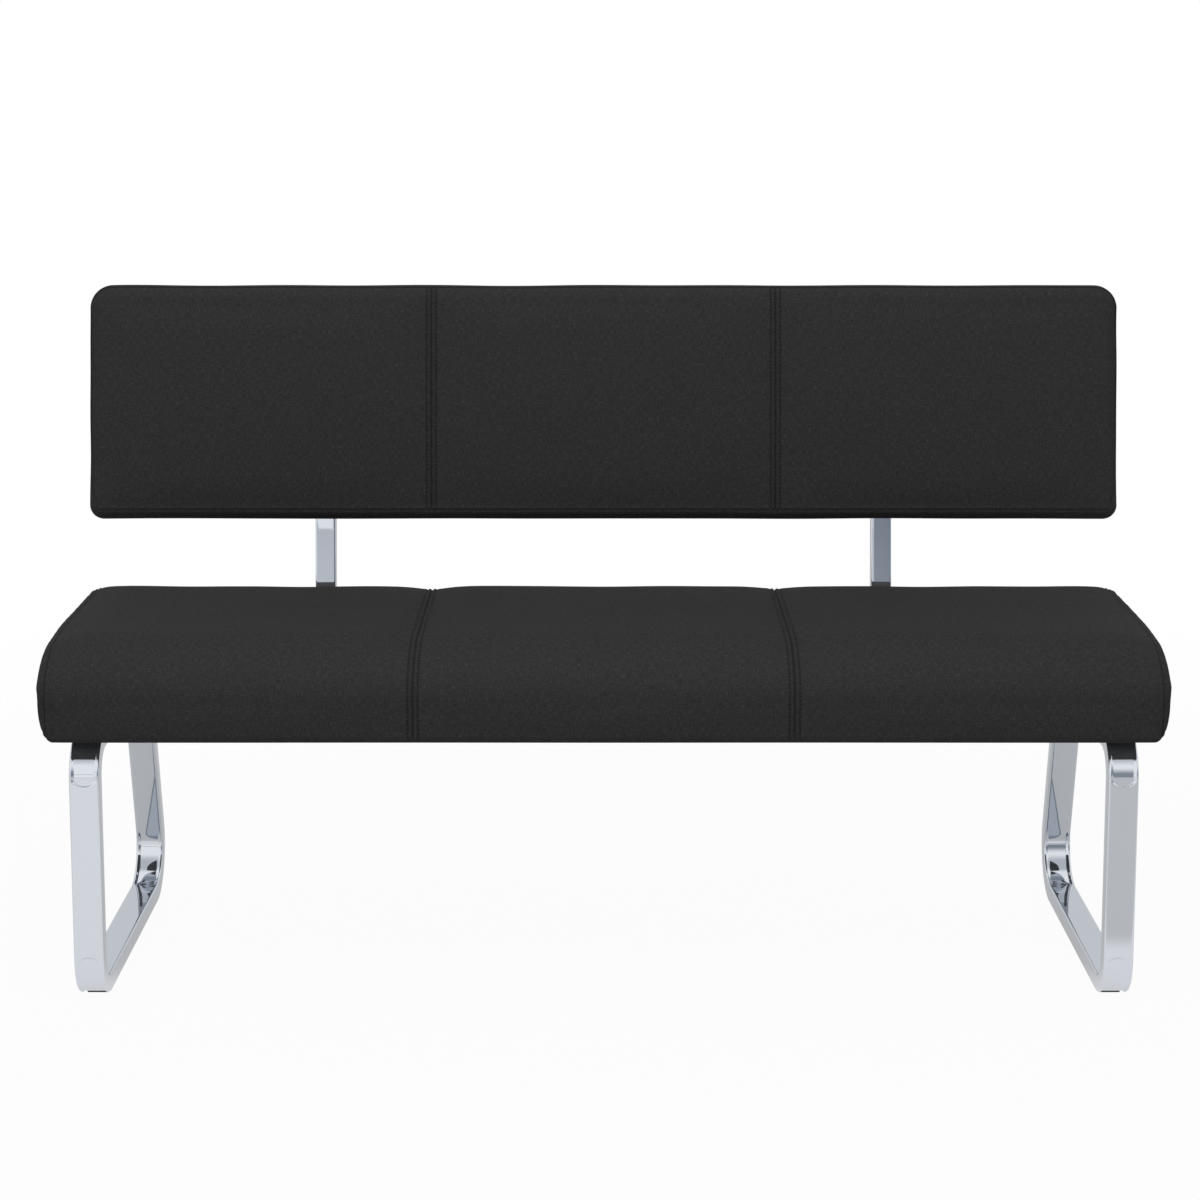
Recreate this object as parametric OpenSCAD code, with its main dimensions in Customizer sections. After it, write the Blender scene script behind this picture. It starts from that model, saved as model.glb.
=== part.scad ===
// Dining bench with a backrest: an upholstered seat and back in three panels each,
// on two closed loops of chromed rectangular tube. The seat's front edge faces -Y.

/* [Seat] */
// Overall width of the seat and of the backrest
bench_w = 1500; // [1200:10:2000]
// Depth of the seat cushion, front to rear
seat_d = 455; // [430:1:480]
// Height of the top of the seat above the floor
seat_top = 490; // [460:1:520]
// Thickness of the seat cushion at its crown
seat_t = 122; // [110:1:140]
// How far the seat top falls from its crown to its rear edge
rear_drop = 1; // [0:1:12]
// How far the rounded front of the seat reaches back from its nose
nose_d = 106; // [80:1:130]
// Height of the foremost point of the seat above its underside
nose_h = 61; // [50:1:70]
// How far the front of the seat slopes back from its nose to its underside
nose_tuck = 3; // [1:0.5:6]
// Radius of the seat's top rear edge
rear_r = 19; // [18:1:36]
// Radius of the seat's lower edges
base_r = 10; // [9:0.5:14]
// Thickness of the padded panel at each end of the seat
end_t = 26; // [20:1:32]
// How far the rounding of an end panel draws in its outline
end_in = 20; // [14:1:24]

/* [Backrest] */
// Height of the backrest, measured along its slope
back_h = 340; // [300:1:400]
// Thickness of the backrest
back_t = 60; // [50:1:75]
// Gap between the seat top and the front lower edge of the backrest
back_gap = 103; // [80:1:140]
// Backward lean of the backrest in degrees
back_lean = 8; // [5:0.5:9]
// Roundness of the front edge of the backrest
back_edge_r = 22; // [16:1:28]
// Radius of the corners of the backrest
back_corner_r = 32; // [14:1:36]

/* [Upholstery] */
// Distance of the two sewn seams from the middle of the bench
seam_x = 250; // [200:1:300]
// Depth of the channel that a seam draws into the padding
seam_dip = 4; // [1:0.5:6]
// Width of the rounding on each side of a seam
seam_blend = 60; // [30:1:80]
// Thickness of the cover cloth with its wadding
cover_t = 2; // [1:0.25:3]
// Width of the cover's margin stapled under the seat
flap_w = 42; // [30:1:60]
// Thickness of the plywood board in the seat
seat_board_t = 18; // [15:1:21]
// Thickness of the plywood board in the backrest
back_board_t = 15; // [12:1:18]

/* [Leg frames] */
// Width of the leg tube, across the bench
tube_w = 40; // [30:1:50]
// Thickness of the leg tube, in the plane of the loop
tube_d = 25; // [20:1:30]
// Wall of the leg tube
tube_wall = 2; // [1.5:0.25:3]
// Distance from the end of the seat to the outside of a leg
leg_inset = 42.5; // [30:0.5:120]
// Distance from the front of the seat to the front of the legs
leg_front = 27; // [15:1:60]
// Overall depth of the bench, from the seat's nose to the rear of the legs
bench_d = 547; // [540:1:600]
// Outer radius of the two front bends and of the rear top bend
bend_r = 58; // [45:1:75]
// Outer radius of the large rear bottom bend
rear_bend_r = 80; // [60:1:95]
// Forward slope of the rear legs in degrees
rear_slope = 17.5; // [12:0.5:18]

/* [Back posts] */
// Distance of each back post from the middle of the bench
post_x = 410; // [350:1:450]
// Width of the post tube, across the bench
post_w = 30; // [26:1:40]
// Thickness of the post tube, front to rear
post_d = 20; // [16:1:25]
// Wall of the post tube
post_wall = 2; // [1.5:0.25:2.5]
// Free space between the seat's rear face and the posts
post_gap = 8; // [5:0.5:12]
// Length of the post's foot under the seat, up to its bend
foot_l = 240; // [180:1:300]
// How far the posts reach up the back of the backrest
post_reach = 230; // [200:1:260]

/* [Glides] */
// Thickness of a floor glide below the tube
glide_t = 4; // [3:0.5:8]
// Side length of a floor glide
glide_w = 30; // [24:1:30]
// Radius of the stem that holds a glide in the tube
glide_stem_r = 4; // [3:0.25:5]

/* [Fasteners] */
// Radius of the bolt shanks
bolt_r = 4; // [3:0.5:4]
// Radius of the button heads
head_r = 7.5; // [7:0.25:9]
// Height of the button heads
head_h = 4.4; // [3:0.1:5]
// Radius of the washers
washer_r = 9; // [8.5:0.5:9.5]
// Thickness of the washers
washer_t = 1.6; // [1:0.1:2]
// Radius of the bolt holes in the tubes
hole_r = 4.5; // [4.5:0.1:5]
// Outer radius of the threaded inserts
insert_r = 5.5; // [5:0.25:7]
// Flange radius of the threaded inserts
flange_r = 10; // [9:0.5:12]
// Flange thickness of the threaded inserts
flange_t = 1.6; // [1:0.1:2]

/* [Hidden] */

// Fits and overruns
gap = 0.3;
thread_gap = 0.05;
over = 1;
$fn = 48;

// Levels and places of the seat
seat_base = seat_top - seat_t;
nose_z = seat_base + nose_h;
rear_z = seat_top - rear_drop;
board_z = seat_base + cover_t;
board_top = board_z + seat_board_t;
end_x = bench_w / 2 - end_t;

// Counts of steps on the round stretches of the cushions
corner_steps = 4;
rear_steps = 6;
top_steps = 4;
nose_steps = 9;
edge_steps = 4;
bend_steps = 16;

// Stations on each side of a seam, as shares of the rounding's width
seam_shares = [0, 0.12, 0.4, 1];
// Rows across the middle of the backrest, as shares of its height
row_shares = [0.28, 0.5, 0.72];
// Stations along the round end of the seat, as shares of a quarter turn
end_shares = [0, 0.3, 0.55, 0.8, 1];
// How much blunter the seat's lower edges get as its outline is drawn in, as a share of that
blunt_share = 0.8;

// Centre lines of the leg loop
tube_half = tube_d / 2;
front_y = leg_front + tube_half;
runner_z = glide_t + tube_half;
rail_z = seat_base - tube_half;
bend_c = bend_r - tube_half;
rear_c = rear_bend_r - tube_half;
rear_y = bench_d - rear_bend_r;
low_tangent = [rear_y + rear_c * cos(rear_slope), runner_z + rear_c + rear_c * sin(rear_slope)];
slope_l = (rail_z - bend_c - low_tangent[1] + bend_c * sin(rear_slope)) / cos(rear_slope);
high_tangent = low_tangent + slope_l * [-sin(rear_slope), cos(rear_slope)];
high_y = high_tangent[0] - bend_c * cos(rear_slope);
rail_start = leg_front + bend_r;
leg_x = bench_w / 2 - leg_inset - tube_w / 2;
sides = [-1, 1];

// Bolts along the straight of the top rail that lies under the seat board, and glides along the runner
bolt_clear = 14;
bolt_inset = washer_r + bolt_clear;
board_rear = seat_d - base_r - gap - nose_tuck;
rail_end = min(high_y, board_rear);
leg_bolt_ys = [rail_start + bolt_inset, (rail_start + rail_end) / 2, rail_end - bolt_inset];
glide_inset = glide_w / 2 + over;
glide_front_y = rail_start + glide_inset;
glide_rear_y = rear_y - glide_inset;
glide_stem_l = 9;
glide_r = 3;

// Centre lines of a back post
post_half = post_d / 2;
post_z = seat_base - post_half;
post_c = base_r + post_gap + post_half;
post_bend_y = seat_d - base_r;
post_start = post_bend_y - foot_l;
post_turn = [post_bend_y + post_c * cos(back_lean), post_z + post_c - post_c * sin(back_lean)];
post_bolt_ys = [post_start + foot_l / 6, post_start + foot_l * 5 / 6];
cap_t = 2;
cap_l = 8;

// Place of the lower rear edge of the backrest, on the front face of the posts
back_z = seat_top + back_gap - back_t * sin(back_lean);
post_face = post_turn - post_half * [cos(back_lean), -sin(back_lean)];
back_y = post_face[0] + (back_z - post_face[1]) * tan(back_lean);
post_l = (back_z - post_turn[1]) / cos(back_lean) + post_reach + post_half * tan(back_lean);
back_bolt_zs = [post_reach / 4, post_reach * 3 / 4];
back_seam_y = back_edge_r - back_t;
back_crown = 3;
back_board_in = 12;

// Staples that hold the lining
staple_w = 10;
staple_d = 1.2;
staple_h = 0.7;
staple_step = 60;
staple_in = 6;

// Lengths of the bolts from the head's face to the tip, with a share of the board's thickness
grip_share = 0.8;
leg_bolt_l = washer_t + tube_d + cover_t + seat_board_t * grip_share;
post_bolt_l = washer_t + post_d + cover_t + seat_board_t * grip_share;
back_bolt_l = washer_t + post_d + cover_t + back_board_t * grip_share;

// Shape of the bolt heads: radius of the top and size of the socket
head_top_share = 0.7;
socket_share = 0.6;

// Outline of the seat

// Points on an arc from angle a to angle b
function arc(centre, rx, rz, a, b, steps) = [for (i = [0:steps])
    let (t = a + (b - a) * i / steps) centre + [rx * cos(t), rz * sin(t)]];

// The seat's outline drawn in by d, seen from its right end, from the rear margin under the seat,
// up the rear, over the top, round the nose and back under the seat
function seat_outline(d = 0) =
    let (r = base_r + d * blunt_share, low = seat_base + d, rear = seat_d - d)
    concat(
        [[seat_d - flap_w, low]],
        arc([rear - r, low + r], r, r, -90, 0, corner_steps),
        arc([rear - rear_r, rear_z - d - rear_r], rear_r, rear_r, 0, 90, rear_steps),
        [for (i = [1:top_steps - 1])
            let (s = 1 - i / top_steps)
            [nose_d + (rear - rear_r - nose_d) * s, seat_top - d - rear_drop * s * s]],
        arc([nose_d, nose_z], nose_d - d, seat_top - d - nose_z, 90, 180, nose_steps),
        arc([nose_tuck + d + r, low + r], r, r, 180, 270, corner_steps),
        [[flap_w, low]]);

// Outward direction of an open outline at point i
function outward(pts, i) =
    let (t = pts[min(i + 1, len(pts) - 1)] - pts[max(i - 1, 0)])
    [t[1], -t[0]] / norm(t);

// How much of a seam's channel a point of the seat's outline takes
function seat_give(p) = max(0, min(1, (p[1] - seat_base - base_r) / (nose_h - base_r)));

// Depth of the seam's channel at a place across the bench
function channel(x) =
    let (d = abs(abs(x) - seam_x))
    d < seam_blend ? seam_dip * pow(1 - d / seam_blend, 2) : 0;

// The seat's outline at x, drawn in by inset and by the channel there
function seat_row(x, inset) =
    let (pts = seat_outline())
    [for (i = [0:len(pts) - 1])
        let (p = pts[i] - outward(pts, i) * (inset + channel(x) * seat_give(pts[i])))
        [x, p[0], p[1]]];

// Where the line from p to q crosses the height floor_z
function crossing(p, q, floor_z) = p + (q - p) * (p[2] - floor_z) / (p[2] - q[2]);

// Outline of the foam: the same, cut off flat on the board
function foam_row(x) =
    let (base = seat_outline(), row = seat_row(x, cover_t + gap), floor_z = board_top + gap)
    let (keep = [for (i = [0:len(base) - 1]) if (base[i][1] > floor_z + base_r) i])
    let (first = keep[0], last = keep[len(keep) - 1])
    concat([crossing(row[first], row[first - 1], floor_z)], [for (i = keep) row[i]],
        [crossing(row[last], row[last + 1], floor_z)]);

// Stations across one panel, with the close ones beside the seams
near_seam = [for (s = seam_shares) s * seam_blend];
centre_xs = concat([for (d = near_seam) d - seam_x], [0],
    [for (i = [len(near_seam) - 1:-1:0]) seam_x - near_seam[i]]);
outer_xs = concat([for (d = near_seam) seam_x + d], [(seam_x + seam_blend + end_x) / 2, end_x]);
function mirrored(xs) = [for (i = [len(xs) - 1:-1:0]) -xs[i]];

// Surface of the backrest

// How far a point lies inside the rounded rectangle of the backrest, drawn in by inset
function inside(x, z, inset) =
    let (r = back_corner_r - inset)
    let (qx = abs(x) - (bench_w / 2 - inset - r))
    let (qz = abs(z - back_h / 2) - (back_h / 2 - inset - r))
    r - norm([max(qx, 0), max(qz, 0)]) - min(max(qx, qz), 0);

// Half the width of the backrest at height z
function back_half(z, inset) =
    let (r = back_corner_r - inset, d = min(z, back_h - z) - inset)
    bench_w / 2 - inset - (d < r ? r - sqrt(max(0, r * r - (r - d) * (r - d))) : 0);

// Front surface of the backrest: a round edge, a slight crown and the seam channels
function back_point(x, z, inset) =
    let (r = back_edge_r - inset, d = max(0, min(r, inside(x, z, inset))))
    let (rise = sqrt(max(0, r * r - (r - d) * (r - d))))
    let (crown = back_crown * (1 - pow(2 * z / back_h - 1, 2)) - channel(x))
    [x, back_seam_y - rise - crown * pow(rise / r, 2), z];

function edge_step(i, inset) = (back_edge_r - inset) * (1 - cos(90 * i / edge_steps));

function back_zs(inset) = concat(
    [for (i = [0:edge_steps]) inset + edge_step(i, inset)],
    [for (s = row_shares) s * back_h],
    [for (i = [edge_steps:-1:0]) back_h - inset - edge_step(i, inset)]);

// Stations of the outer panel at height z, from its seam to the end of the backrest
function back_outer_xs(z, inset) = concat([for (d = near_seam) seam_x + d],
    [(seam_x + end_x) / 2],
    [for (i = [edge_steps:-1:0]) back_half(z, inset) - edge_step(i, inset)]);

function back_grid(inset, part) = [for (z = back_zs(inset))
    let (outer = back_outer_xs(z, inset))
    let (xs = part == "right" ? outer : part == "left" ? mirrored(outer) : centre_xs)
    [for (x = xs) back_point(x, z, inset)]];

// Solids made from grids of points

function flat(rows) = [for (r = rows) each r];
function side_face(p, q, n) = [[p, q, q + n], [p, q + n, p + n]];

// A closed skin between an outer and an inner grid of the same size
module skin(outer, inner) {
    rows = len(outer);
    cols = len(outer[0]);
    n = rows * cols;
    cells = [for (r = [0:rows - 2]) for (c = [0:cols - 2])
        [r * cols + c, r * cols + c + 1, (r + 1) * cols + c + 1, (r + 1) * cols + c]];
    outer_faces = [for (q = cells) each [[q[0], q[2], q[1]], [q[0], q[3], q[2]]]];
    inner_faces = [for (q = cells) each
        [[q[0] + n, q[1] + n, q[2] + n], [q[0] + n, q[2] + n, q[3] + n]]];
    last = (rows - 1) * cols;
    rim = concat(
        [for (c = [0:cols - 2]) each side_face(c, c + 1, n)],
        [for (c = [0:cols - 2]) each side_face(last + c + 1, last + c, n)],
        [for (r = [0:rows - 2]) each side_face((r + 1) * cols, r * cols, n)],
        [for (r = [0:rows - 2]) each side_face(r * cols + cols - 1, (r + 2) * cols - 1, n)]);
    polyhedron(points = concat(flat(outer), flat(inner)), faces = concat(outer_faces, inner_faces, rim));
}

// Mean of a list of points
function middle(pts) = [for (k = [0:2]) [for (p = pts) p[k]] * [for (p = pts) 1] / len(pts)];

// A solid through closed rings of the same size, closed by a fan at each end
module loft(rings) {
    rows = len(rings);
    cols = len(rings[0]);
    n = rows * cols;
    sides = [for (r = [0:rows - 2]) for (c = [0:cols - 1])
        let (d = (c + 1) % cols)
        each [[r * cols + c, (r + 1) * cols + d, r * cols + d],
            [r * cols + c, (r + 1) * cols + c, (r + 1) * cols + d]]];
    start = [for (c = [0:cols - 1]) [c, (c + 1) % cols, n]];
    end = [for (c = [0:cols - 1]) [n - cols + (c + 1) % cols, n - cols + c, n + 1]];
    polyhedron(points = concat(flat(rings), [middle(rings[0]), middle(rings[rows - 1])]),
        faces = concat(sides, start, end));
}

// Placing

// Puts the seat's front edge half the bench's depth in front of the middle
module placed() {
    translate([0, -bench_d / 2, 0]) children();
}

// Turns a shape drawn as (depth, height) so that it stands along the bench's side
module side_plane() {
    rotate([90, 0, 90]) children();
}

// The backrest's own frame: its rear face at y = 0 and its lower edge at z = 0
module leaned() {
    translate([0, back_y, back_z]) rotate([-back_lean, 0, 0]) children();
}

module rounded(w, h, r) {
    square([w - 2 * r, h], center = true);
    square([w, h - 2 * r], center = true);
    for (sx = sides, sy = sides) {
        translate([sx * (w / 2 - r), sy * (h / 2 - r)]) circle(r);
    }
}

// Upholstery of the seat

module seat_panel(xs) {
    placed() color("#303133") skin([for (x = xs) seat_row(x, 0)], [for (x = xs) seat_row(x, cover_t)]);
}

module seat_cover_left() {
    seat_panel(mirrored(outer_xs));
}

module seat_cover_centre() {
    seat_panel(centre_xs);
}

module seat_cover_right() {
    seat_panel(outer_xs);
}

// A padded end panel whose outer edge is round
module seat_end(side) {
    rings = [for (s = end_shares)
        [for (p = seat_outline(end_in * (1 - cos(90 * s)))) [end_x + end_t * sin(90 * s), p[0], p[1]]]];
    placed() color("#303133") mirror([side < 0 ? 1 : 0, 0, 0]) loft(rings);
}

module seat_end_left() {
    seat_end(-1);
}

module seat_end_right() {
    seat_end(1);
}

module seat_foam() {
    xs = concat(mirrored([for (x = outer_xs) min(x, end_x - gap)]),
        [for (i = [1:len(centre_xs) - 2]) centre_xs[i]], [for (x = outer_xs) min(x, end_x - gap)]);
    placed() color("#d8cfa8") loft([for (x = xs) foam_row(x)]);
}

// Stepped hole for a threaded insert, from the board's lower face at z = 0
module insert_seat(board) {
    translate([0, 0, -over]) cylinder(r = insert_r + gap / 2, h = board + 2 * over);
    translate([0, 0, board - flange_t - gap]) cylinder(r = flange_r + gap, h = flange_t + gap + over);
}

// A flanged insert whose flange lies flush in the board's upper face
module insert(board) {
    difference() {
        union() {
            cylinder(r = insert_r, h = board - gap);
            translate([0, 0, board - flange_t - gap]) cylinder(r = flange_r, h = flange_t);
        }
        translate([0, 0, -over]) cylinder(r = bolt_r + thread_gap, h = board + 2 * over);
    }
}

// Repeats a fastener under the rails and under the feet of the posts
module at_leg_bolts() {
    for (side = sides, y = leg_bolt_ys) {
        translate([side * leg_x, y, 0]) children();
    }
}

module at_post_bolts() {
    for (side = sides, y = post_bolt_ys) {
        translate([side * post_x, y, 0]) children();
    }
}

module at_back_bolts() {
    for (side = sides, z = back_bolt_zs) {
        translate([side * post_x, 0, z]) children();
    }
}

module seat_board() {
    inner = base_r + gap;
    placed() color("#c9a877") difference() {
        translate([gap - end_x, inner, board_z])
            cube([2 * (end_x - gap), board_rear - inner, seat_board_t]);
        translate([0, 0, board_z]) at_leg_bolts() insert_seat(seat_board_t);
        translate([0, 0, board_z]) at_post_bolts() insert_seat(seat_board_t);
    }
}

module seat_inserts() {
    placed() color("#b9b9b0") translate([0, 0, board_z]) {
        at_leg_bolts() insert(seat_board_t);
        at_post_bolts() insert(seat_board_t);
    }
}

module seat_lining() {
    placed() color("#1c1c1e") difference() {
        translate([gap - end_x, flap_w + gap, seat_base])
            cube([2 * (end_x - gap), seat_d - 2 * (flap_w + gap), cover_t]);
        translate([0, 0, seat_base - over]) at_leg_bolts() cylinder(r = hole_r, h = cover_t + 2 * over);
        translate([0, 0, seat_base - over]) at_post_bolts() cylinder(r = hole_r, h = cover_t + 2 * over);
    }
}

// Staples along the front and rear edges of the lining, clear of the legs and posts
module lining_staples() {
    count = floor((leg_x - tube_w) / staple_step);
    for (side = sides, i = [0:count - 1], y = [flap_w + staple_in, seat_d - flap_w - staple_in]) {
        x = i * staple_step + staple_step / 2;
        if (abs(x - post_x) > (post_w + staple_w) / 2 + over) {
            placed() color("#8f9296")
                translate([side * x - staple_w / 2, y - staple_d / 2, seat_base - staple_h])
                cube([staple_w, staple_d, staple_h]);
        }
    }
}

// Upholstery of the backrest

module back_panel(part) {
    placed() leaned() color("#303133") skin(back_grid(0, part), back_grid(cover_t, part));
}

module back_cover_left() {
    back_panel("left");
}

module back_cover_centre() {
    back_panel("centre");
}

module back_cover_right() {
    back_panel("right");
}

// A flat plate standing in the backrest's frame, from y = rear forwards
module back_plate(inset, thick, rear) {
    translate([0, rear, back_h / 2]) rotate([90, 0, 0]) linear_extrude(thick)
        rounded(bench_w - 2 * inset, back_h - 2 * inset, back_corner_r - inset);
}

module back_border() {
    placed() leaned() color("#2b2c2e") difference() {
        back_plate(0, -back_seam_y, 0);
        back_plate(cover_t, 2 * over - back_seam_y, over);
    }
}

module back_bolt_holes(r, depth) {
    at_back_bolts() translate([0, over, 0]) rotate([90, 0, 0]) cylinder(r = r, h = depth + over);
}

module back_rear_panel() {
    placed() leaned() color("#2b2c2e") difference() {
        back_plate(cover_t + gap, cover_t, 0);
        back_bolt_holes(hole_r, cover_t + over);
    }
}

module back_foam() {
    inset = cover_t + gap;
    left = back_grid(inset, "left");
    centre = back_grid(inset, "centre");
    right = back_grid(inset, "right");
    last = len(centre_xs) - 2;
    front = [for (r = [0:len(left) - 1]) concat(left[r], [for (i = [1:last]) centre[r][i]], right[r])];
    foot_y = -cover_t - back_board_t - gap;
    rear = [for (row = front) [for (p = row) [p[0], foot_y, p[2]]]];
    placed() leaned() color("#d8cfa8") skin(front, rear);
}

// Turns a fastener drawn upwards so that it points forwards into the backrest
module into_back() {
    rotate([90, 0, 0]) children();
}

module back_board() {
    w = bench_w - 2 * back_board_in;
    h = back_h - 2 * back_board_in;
    placed() leaned() color("#c9a877") difference() {
        translate([-w / 2, -cover_t - back_board_t, back_board_in]) cube([w, back_board_t, h]);
        translate([0, -cover_t, 0]) at_back_bolts() into_back() insert_seat(back_board_t);
    }
}

module back_inserts() {
    placed() leaned() color("#b9b9b0") translate([0, -cover_t, 0])
        at_back_bolts() into_back() insert(back_board_t);
}

// Leg frames

// Outline of the leg loop's centre line, grown by h, from the front bottom bend round by the rear
function loop_outline(h) = concat(
    arc([rail_start, runner_z + bend_c], bend_c + h, bend_c + h, 180, 270, bend_steps),
    arc([rear_y, runner_z + rear_c], rear_c + h, rear_c + h, -90, 0, bend_steps),
    arc([rear_y, runner_z + rear_c], rear_c + h, rear_c + h, rear_slope / 2, rear_slope, 1),
    arc([high_y, rail_z - bend_c], bend_c + h, bend_c + h, rear_slope, 90, bend_steps),
    arc([rail_start, rail_z - bend_c], bend_c + h, bend_c + h, 90, 180, bend_steps));

// The loop as a band of half-thickness h and of the given width
module loop_band(h, width) {
    side_plane() linear_extrude(width, center = true) difference() {
        polygon(loop_outline(h));
        polygon(loop_outline(-h));
    }
}

module leg_frame(side) {
    placed() color("#c9ced6") translate([side * leg_x, 0, 0]) difference() {
        loop_band(tube_half, tube_w);
        loop_band(tube_half - tube_wall, tube_w - 2 * tube_wall);
        for (y = leg_bolt_ys) {
            translate([0, y, rail_z - tube_half - over]) cylinder(r = hole_r, h = tube_d + 2 * over);
        }
        for (y = [glide_front_y, glide_rear_y]) {
            translate([0, y, glide_t - over]) cylinder(r = glide_stem_r, h = tube_wall + 2 * over);
        }
    }
}

module leg_frame_left() {
    leg_frame(-1);
}

module leg_frame_right() {
    leg_frame(1);
}

// A square glide with a stem that pushes into the runner
module glide(side, y) {
    placed() color("#18181a") translate([side * leg_x, y, 0]) {
        linear_extrude(glide_t) rounded(glide_w, glide_w, glide_r);
        cylinder(r = glide_stem_r - thread_gap, h = glide_t + glide_stem_l);
    }
}

module glide_front_left() {
    glide(-1, glide_front_y);
}

module glide_front_right() {
    glide(1, glide_front_y);
}

module glide_rear_left() {
    glide(-1, glide_rear_y);
}

module glide_rear_right() {
    glide(1, glide_rear_y);
}

// Back posts

// The area above and in front of a post's centre line, grown by h and past its ends by extra
module post_area(h, extra) {
    up = [sin(back_lean), cos(back_lean)] * (post_l + extra);
    out = [cos(back_lean), -sin(back_lean)];
    far = post_turn - foot_l * out + up;
    polygon([[post_start - extra, post_z - h], [post_bend_y, post_z - h], post_turn + h * out,
        post_turn + h * out + up, far, [post_start - extra, far[1]]]);
    translate([post_bend_y, post_z + post_c]) circle(post_c + h, $fn = 96);
}

// A post as a band of half-thickness h and of the given width
module post_band(h, width, extra) {
    side_plane() linear_extrude(width, center = true) difference() {
        post_area(h, extra);
        post_area(-h, extra + over);
    }
}

module back_post(side) {
    placed() color("#c3c8d0") difference() {
        translate([side * post_x, 0, 0]) difference() {
            post_band(post_half, post_w, 0);
            post_band(post_half - post_wall, post_w - 2 * post_wall, over);
            for (y = post_bolt_ys) {
                translate([0, y, post_z - post_half - over]) cylinder(r = hole_r, h = post_d + 2 * over);
            }
        }
        leaned() for (z = back_bolt_zs) {
            translate([side * post_x, post_d + over, z]) into_back()
                cylinder(r = hole_r, h = post_d + 2 * over);
        }
    }
}

module back_post_left() {
    back_post(-1);
}

module back_post_right() {
    back_post(1);
}

// A plug for the end of a post, drawn with its flange above z = 0
module post_cap() {
    fit = 2 * (post_wall + gap);
    linear_extrude(cap_t) square([post_w, post_d], center = true);
    translate([0, 0, -cap_l]) linear_extrude(cap_l) square([post_w - fit, post_d - fit], center = true);
}

module post_caps() {
    top = post_turn + post_l * [sin(back_lean), cos(back_lean)];
    for (side = sides) {
        placed() color("#18181a") {
            translate([side * post_x, top[0], top[1]]) rotate([-back_lean, 0, 0]) post_cap();
            translate([side * post_x, post_start, post_z]) rotate([90, 0, 0]) post_cap();
        }
    }
}

// Fasteners

// A button-head bolt drawn pointing up, with its head below z = 0 and a hexagon socket
module bolt(length) {
    difference() {
        union() {
            translate([0, 0, -head_h]) cylinder(r1 = head_r * head_top_share, r2 = head_r, h = head_h);
            cylinder(r = bolt_r, h = length);
        }
        translate([0, 0, -head_h - over])
            cylinder(r = bolt_r * socket_share, h = head_h * socket_share + over, $fn = 6);
    }
}

module washer() {
    difference() {
        cylinder(r = washer_r, h = washer_t);
        translate([0, 0, -over]) cylinder(r = bolt_r + gap, h = washer_t + 2 * over);
    }
}

module leg_bolts() {
    placed() color("#9fa3a8") translate([0, 0, seat_base - tube_d - washer_t])
        at_leg_bolts() bolt(leg_bolt_l);
}

module leg_washers() {
    placed() color("#8f9296") translate([0, 0, seat_base - tube_d - washer_t]) at_leg_bolts() washer();
}

module post_bolts() {
    placed() color("#9fa3a8") translate([0, 0, seat_base - post_d - washer_t])
        at_post_bolts() bolt(post_bolt_l);
}

module post_washers() {
    placed() color("#8f9296") translate([0, 0, seat_base - post_d - washer_t]) at_post_bolts() washer();
}

module back_bolts() {
    placed() leaned() color("#9fa3a8") translate([0, post_d + washer_t, 0])
        at_back_bolts() into_back() bolt(back_bolt_l);
}

module back_washers() {
    placed() leaned() color("#8f9296") translate([0, post_d + washer_t, 0])
        at_back_bolts() into_back() washer();
}

seat_cover_left();
seat_cover_centre();
seat_cover_right();
seat_end_left();
seat_end_right();
seat_foam();
seat_board();
seat_lining();
lining_staples();
seat_inserts();
back_cover_left();
back_cover_centre();
back_cover_right();
back_border();
back_rear_panel();
back_foam();
back_board();
back_inserts();
leg_frame_left();
leg_frame_right();
glide_front_left();
glide_front_right();
glide_rear_left();
glide_rear_right();
leg_bolts();
leg_washers();
back_post_left();
back_post_right();
post_caps();
post_bolts();
post_washers();
back_bolts();
back_washers();
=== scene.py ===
import math
import bpy
import numpy as np
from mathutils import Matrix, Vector


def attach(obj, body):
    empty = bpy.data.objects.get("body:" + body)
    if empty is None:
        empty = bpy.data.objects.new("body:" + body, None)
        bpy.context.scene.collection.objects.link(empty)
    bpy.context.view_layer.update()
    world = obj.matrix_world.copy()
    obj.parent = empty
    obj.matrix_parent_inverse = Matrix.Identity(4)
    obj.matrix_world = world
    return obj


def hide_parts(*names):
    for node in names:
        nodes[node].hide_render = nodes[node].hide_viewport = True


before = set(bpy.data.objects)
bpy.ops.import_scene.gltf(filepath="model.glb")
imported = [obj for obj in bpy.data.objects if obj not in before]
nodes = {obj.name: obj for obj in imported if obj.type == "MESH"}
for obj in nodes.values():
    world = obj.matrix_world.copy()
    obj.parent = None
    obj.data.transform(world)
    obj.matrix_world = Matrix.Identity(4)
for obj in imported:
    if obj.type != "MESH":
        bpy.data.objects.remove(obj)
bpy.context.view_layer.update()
scene = bpy.context.scene
collection = scene.collection

# Lengths are in metres, and y is measured back from the seat's nose unless it says otherwise
bench = {"half": 0.75, "noseY": -0.2735}


def smoothStep(a, b, x):
    # 0 up to a and 1 from b on; between them 3 t squared minus 2 t cubed
    t = np.clip((x - a) / (b - a), 0, 1)
    return t * t * (3 - 2 * t)


def meshPiece(name, points, faces, smooth=True):
    # Object from points and faces
    mesh = bpy.data.meshes.new(name)
    mesh.from_pydata(points.tolist(), [], faces)
    mesh.polygons.foreach_set("use_smooth", np.full(len(mesh.polygons), smooth))
    mesh.update()
    piece = bpy.data.objects.new(name, mesh)
    collection.objects.link(piece)
    return piece


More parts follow.
